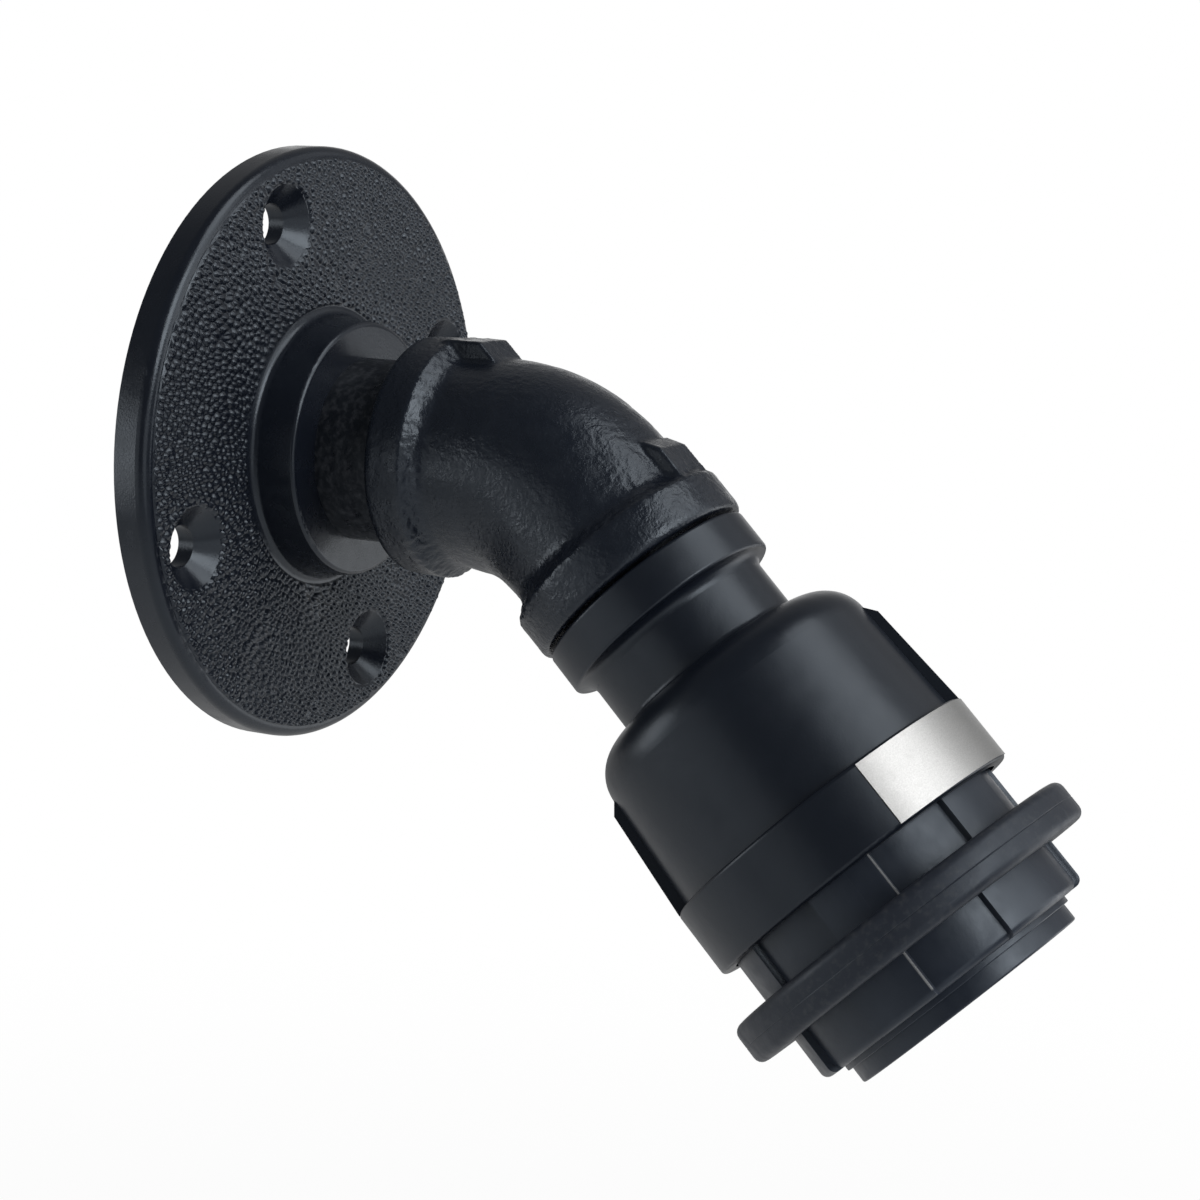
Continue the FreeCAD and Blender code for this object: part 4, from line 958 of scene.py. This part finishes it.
def maths(tree, operation, first, second):
    """A Math node on two sockets or numbers."""
    node = tree.nodes.new("ShaderNodeMath")
    node.operation = operation
    for source, target in zip((first, second), node.inputs):
        if isinstance(source, (int, float)):
            target.default_value = source
        else:
            tree.links.new(source, target)
    return node.outputs[0]


def mix_in_white(tree, plain, white, output, seen, mirrored):
    """Mixes white into a shader: a share for what the camera sees, and one for gloss and glass."""
    rays = tree.nodes.new("ShaderNodeLightPath")
    gloss = maths(tree, "MAXIMUM", rays.outputs["Is Glossy Ray"], rays.outputs["Is Transmission Ray"])
    camera_share = maths(tree, "MULTIPLY", rays.outputs["Is Camera Ray"], seen)
    gloss_share = maths(tree, "MULTIPLY", gloss, mirrored)
    mix = tree.nodes.new("ShaderNodeMixShader")
    tree.links.new(maths(tree, "MAXIMUM", camera_share, gloss_share), mix.inputs["Fac"])
    tree.links.new(plain, mix.inputs[1])
    tree.links.new(white, mix.inputs[2])
    tree.links.new(mix.outputs[0], output)


def make_floor():
    """A white floor under the light, which fades to pure white away from it."""
    mesh = bpy.data.meshes.new("floor")
    half = FLOOR_SIZE / 2
    corners = [(-half, -half, FLOOR_LEVEL), (half, -half, FLOOR_LEVEL), (half, half, FLOOR_LEVEL),
               (-half, half, FLOOR_LEVEL)]
    mesh.from_pydata(corners, [], [(0, 1, 2, 3)])
    floor = bpy.data.objects.new("floor", mesh)
    bpy.context.scene.collection.objects.link(floor)
    material = bpy.data.materials.new("floor")
    material.use_nodes = True
    shader = material.node_tree.nodes["Principled BSDF"]
    shader.inputs["Base Color"].default_value = (FLOOR_WHITE, FLOOR_WHITE, FLOOR_WHITE, 1)
    shader.inputs["Roughness"].default_value = FLOOR_ROUGHNESS
    tree = material.node_tree
    white = tree.nodes.new("ShaderNodeEmission")
    white.inputs["Strength"].default_value = 1.0
    distance = tree.nodes.new("ShaderNodeVectorMath")
    distance.operation = "LENGTH"
    tree.links.new(tree.nodes.new("ShaderNodeTexCoord").outputs["Object"], distance.inputs[0])
    seen = map_range(tree, distance.outputs["Value"], FLOOR_FADE_START, FLOOR_FADE_END,
                     FLOOR_SEEN_WHITE, 1.0, "SMOOTHSTEP")
    mix_in_white(tree, shader.outputs[0], white.outputs[0], tree.nodes["Material Output"].inputs["Surface"],
                 seen, FLOOR_MIRRORED_WHITE)
    mesh.materials.append(material)


def make_world():
    """White for the camera, with a weak light that grows to one side, where gloss mirrors a backdrop."""
    world = bpy.data.worlds.new("studio")
    bpy.context.scene.world = world
    world.use_nodes = True
    tree = world.node_tree
    plain = tree.nodes["Background"]
    plain.inputs["Color"].default_value = (1, 1, 1, 1)
    white = tree.nodes.new("ShaderNodeBackground")
    white.inputs["Color"].default_value = (1, 1, 1, 1)
    white.inputs["Strength"].default_value = 1.0
    towards = tree.nodes.new("ShaderNodeVectorMath")
    towards.operation = "DOT_PRODUCT"
    towards.inputs[1].default_value = BACKDROP_DIRECTION
    tree.links.new(tree.nodes.new("ShaderNodeTexCoord").outputs["Generated"], towards.inputs[0])
    cosine = towards.outputs["Value"]
    glow_end, glow_full, end, full = (math.cos(math.radians(angle)) for angle in
                                      (AMBIENT_END_ANGLE, AMBIENT_FULL_ANGLE,
                                       BACKDROP_END_ANGLE, BACKDROP_FULL_ANGLE))
    glow = map_range(tree, cosine, glow_end, glow_full, AMBIENT, AMBIENT_AHEAD, "SMOOTHSTEP")
    tree.links.new(glow, plain.inputs["Strength"])
    backdrop = map_range(tree, cosine, end, full, 0.0, 1.0, "SMOOTHSTEP")
    mix_in_white(tree, plain.outputs[0], white.outputs[0], tree.nodes["World Output"].inputs["Surface"],
                 1.0, backdrop)


def make_camera():
    """The photograph's camera, placed and turned as it was, with the picture enlarged."""
    azimuth, elevation, roll = (math.radians(value) for value in
                                (CAMERA_AZIMUTH, CAMERA_ELEVATION, CAMERA_ROLL))
    back = Vector((math.sin(azimuth) * math.cos(elevation), -math.cos(azimuth) * math.cos(elevation),
                   math.sin(elevation)))
    level = Vector((math.cos(azimuth), math.sin(azimuth), 0))
    upright = back.cross(level)
    right = level * math.cos(roll) + upright * math.sin(roll)
    up = upright * math.cos(roll) - level * math.sin(roll)
    data = bpy.data.cameras.new("camera")
    data.sensor_fit = "HORIZONTAL"
    data.sensor_width = SENSOR_WIDTH
    data.lens = ENLARGEMENT * PHOTO_FOCAL_PIXELS / PHOTO_WIDTH * SENSOR_WIDTH
    data.clip_start, data.clip_end = CAMERA_NEAR, CAMERA_FAR
    camera = bpy.data.objects.new("camera", data)
    bpy.context.scene.collection.objects.link(camera)
    camera.matrix_world = Matrix.Translation(EYE) @ Matrix((right, up, back)).transposed().to_4x4()
    bpy.context.scene.camera = camera


materials = make_materials()
dress_cad_nodes(materials)
make_flange(materials["flange_cast"])
make_elbow(materials["elbow_cast"])
make_skirt(materials["holder_black"])
make_ring(materials["ring_black"])
make_shell(materials["nickel_brass"])
make_lead(materials)

make_floor()
make_world()
for lamp_name, (lamp_towards, lamp_energy) in LAMPS.items():
    add_lamp(lamp_name, lamp_towards, lamp_energy)
make_camera()
bpy.context.scene.view_settings.view_transform = "Standard"
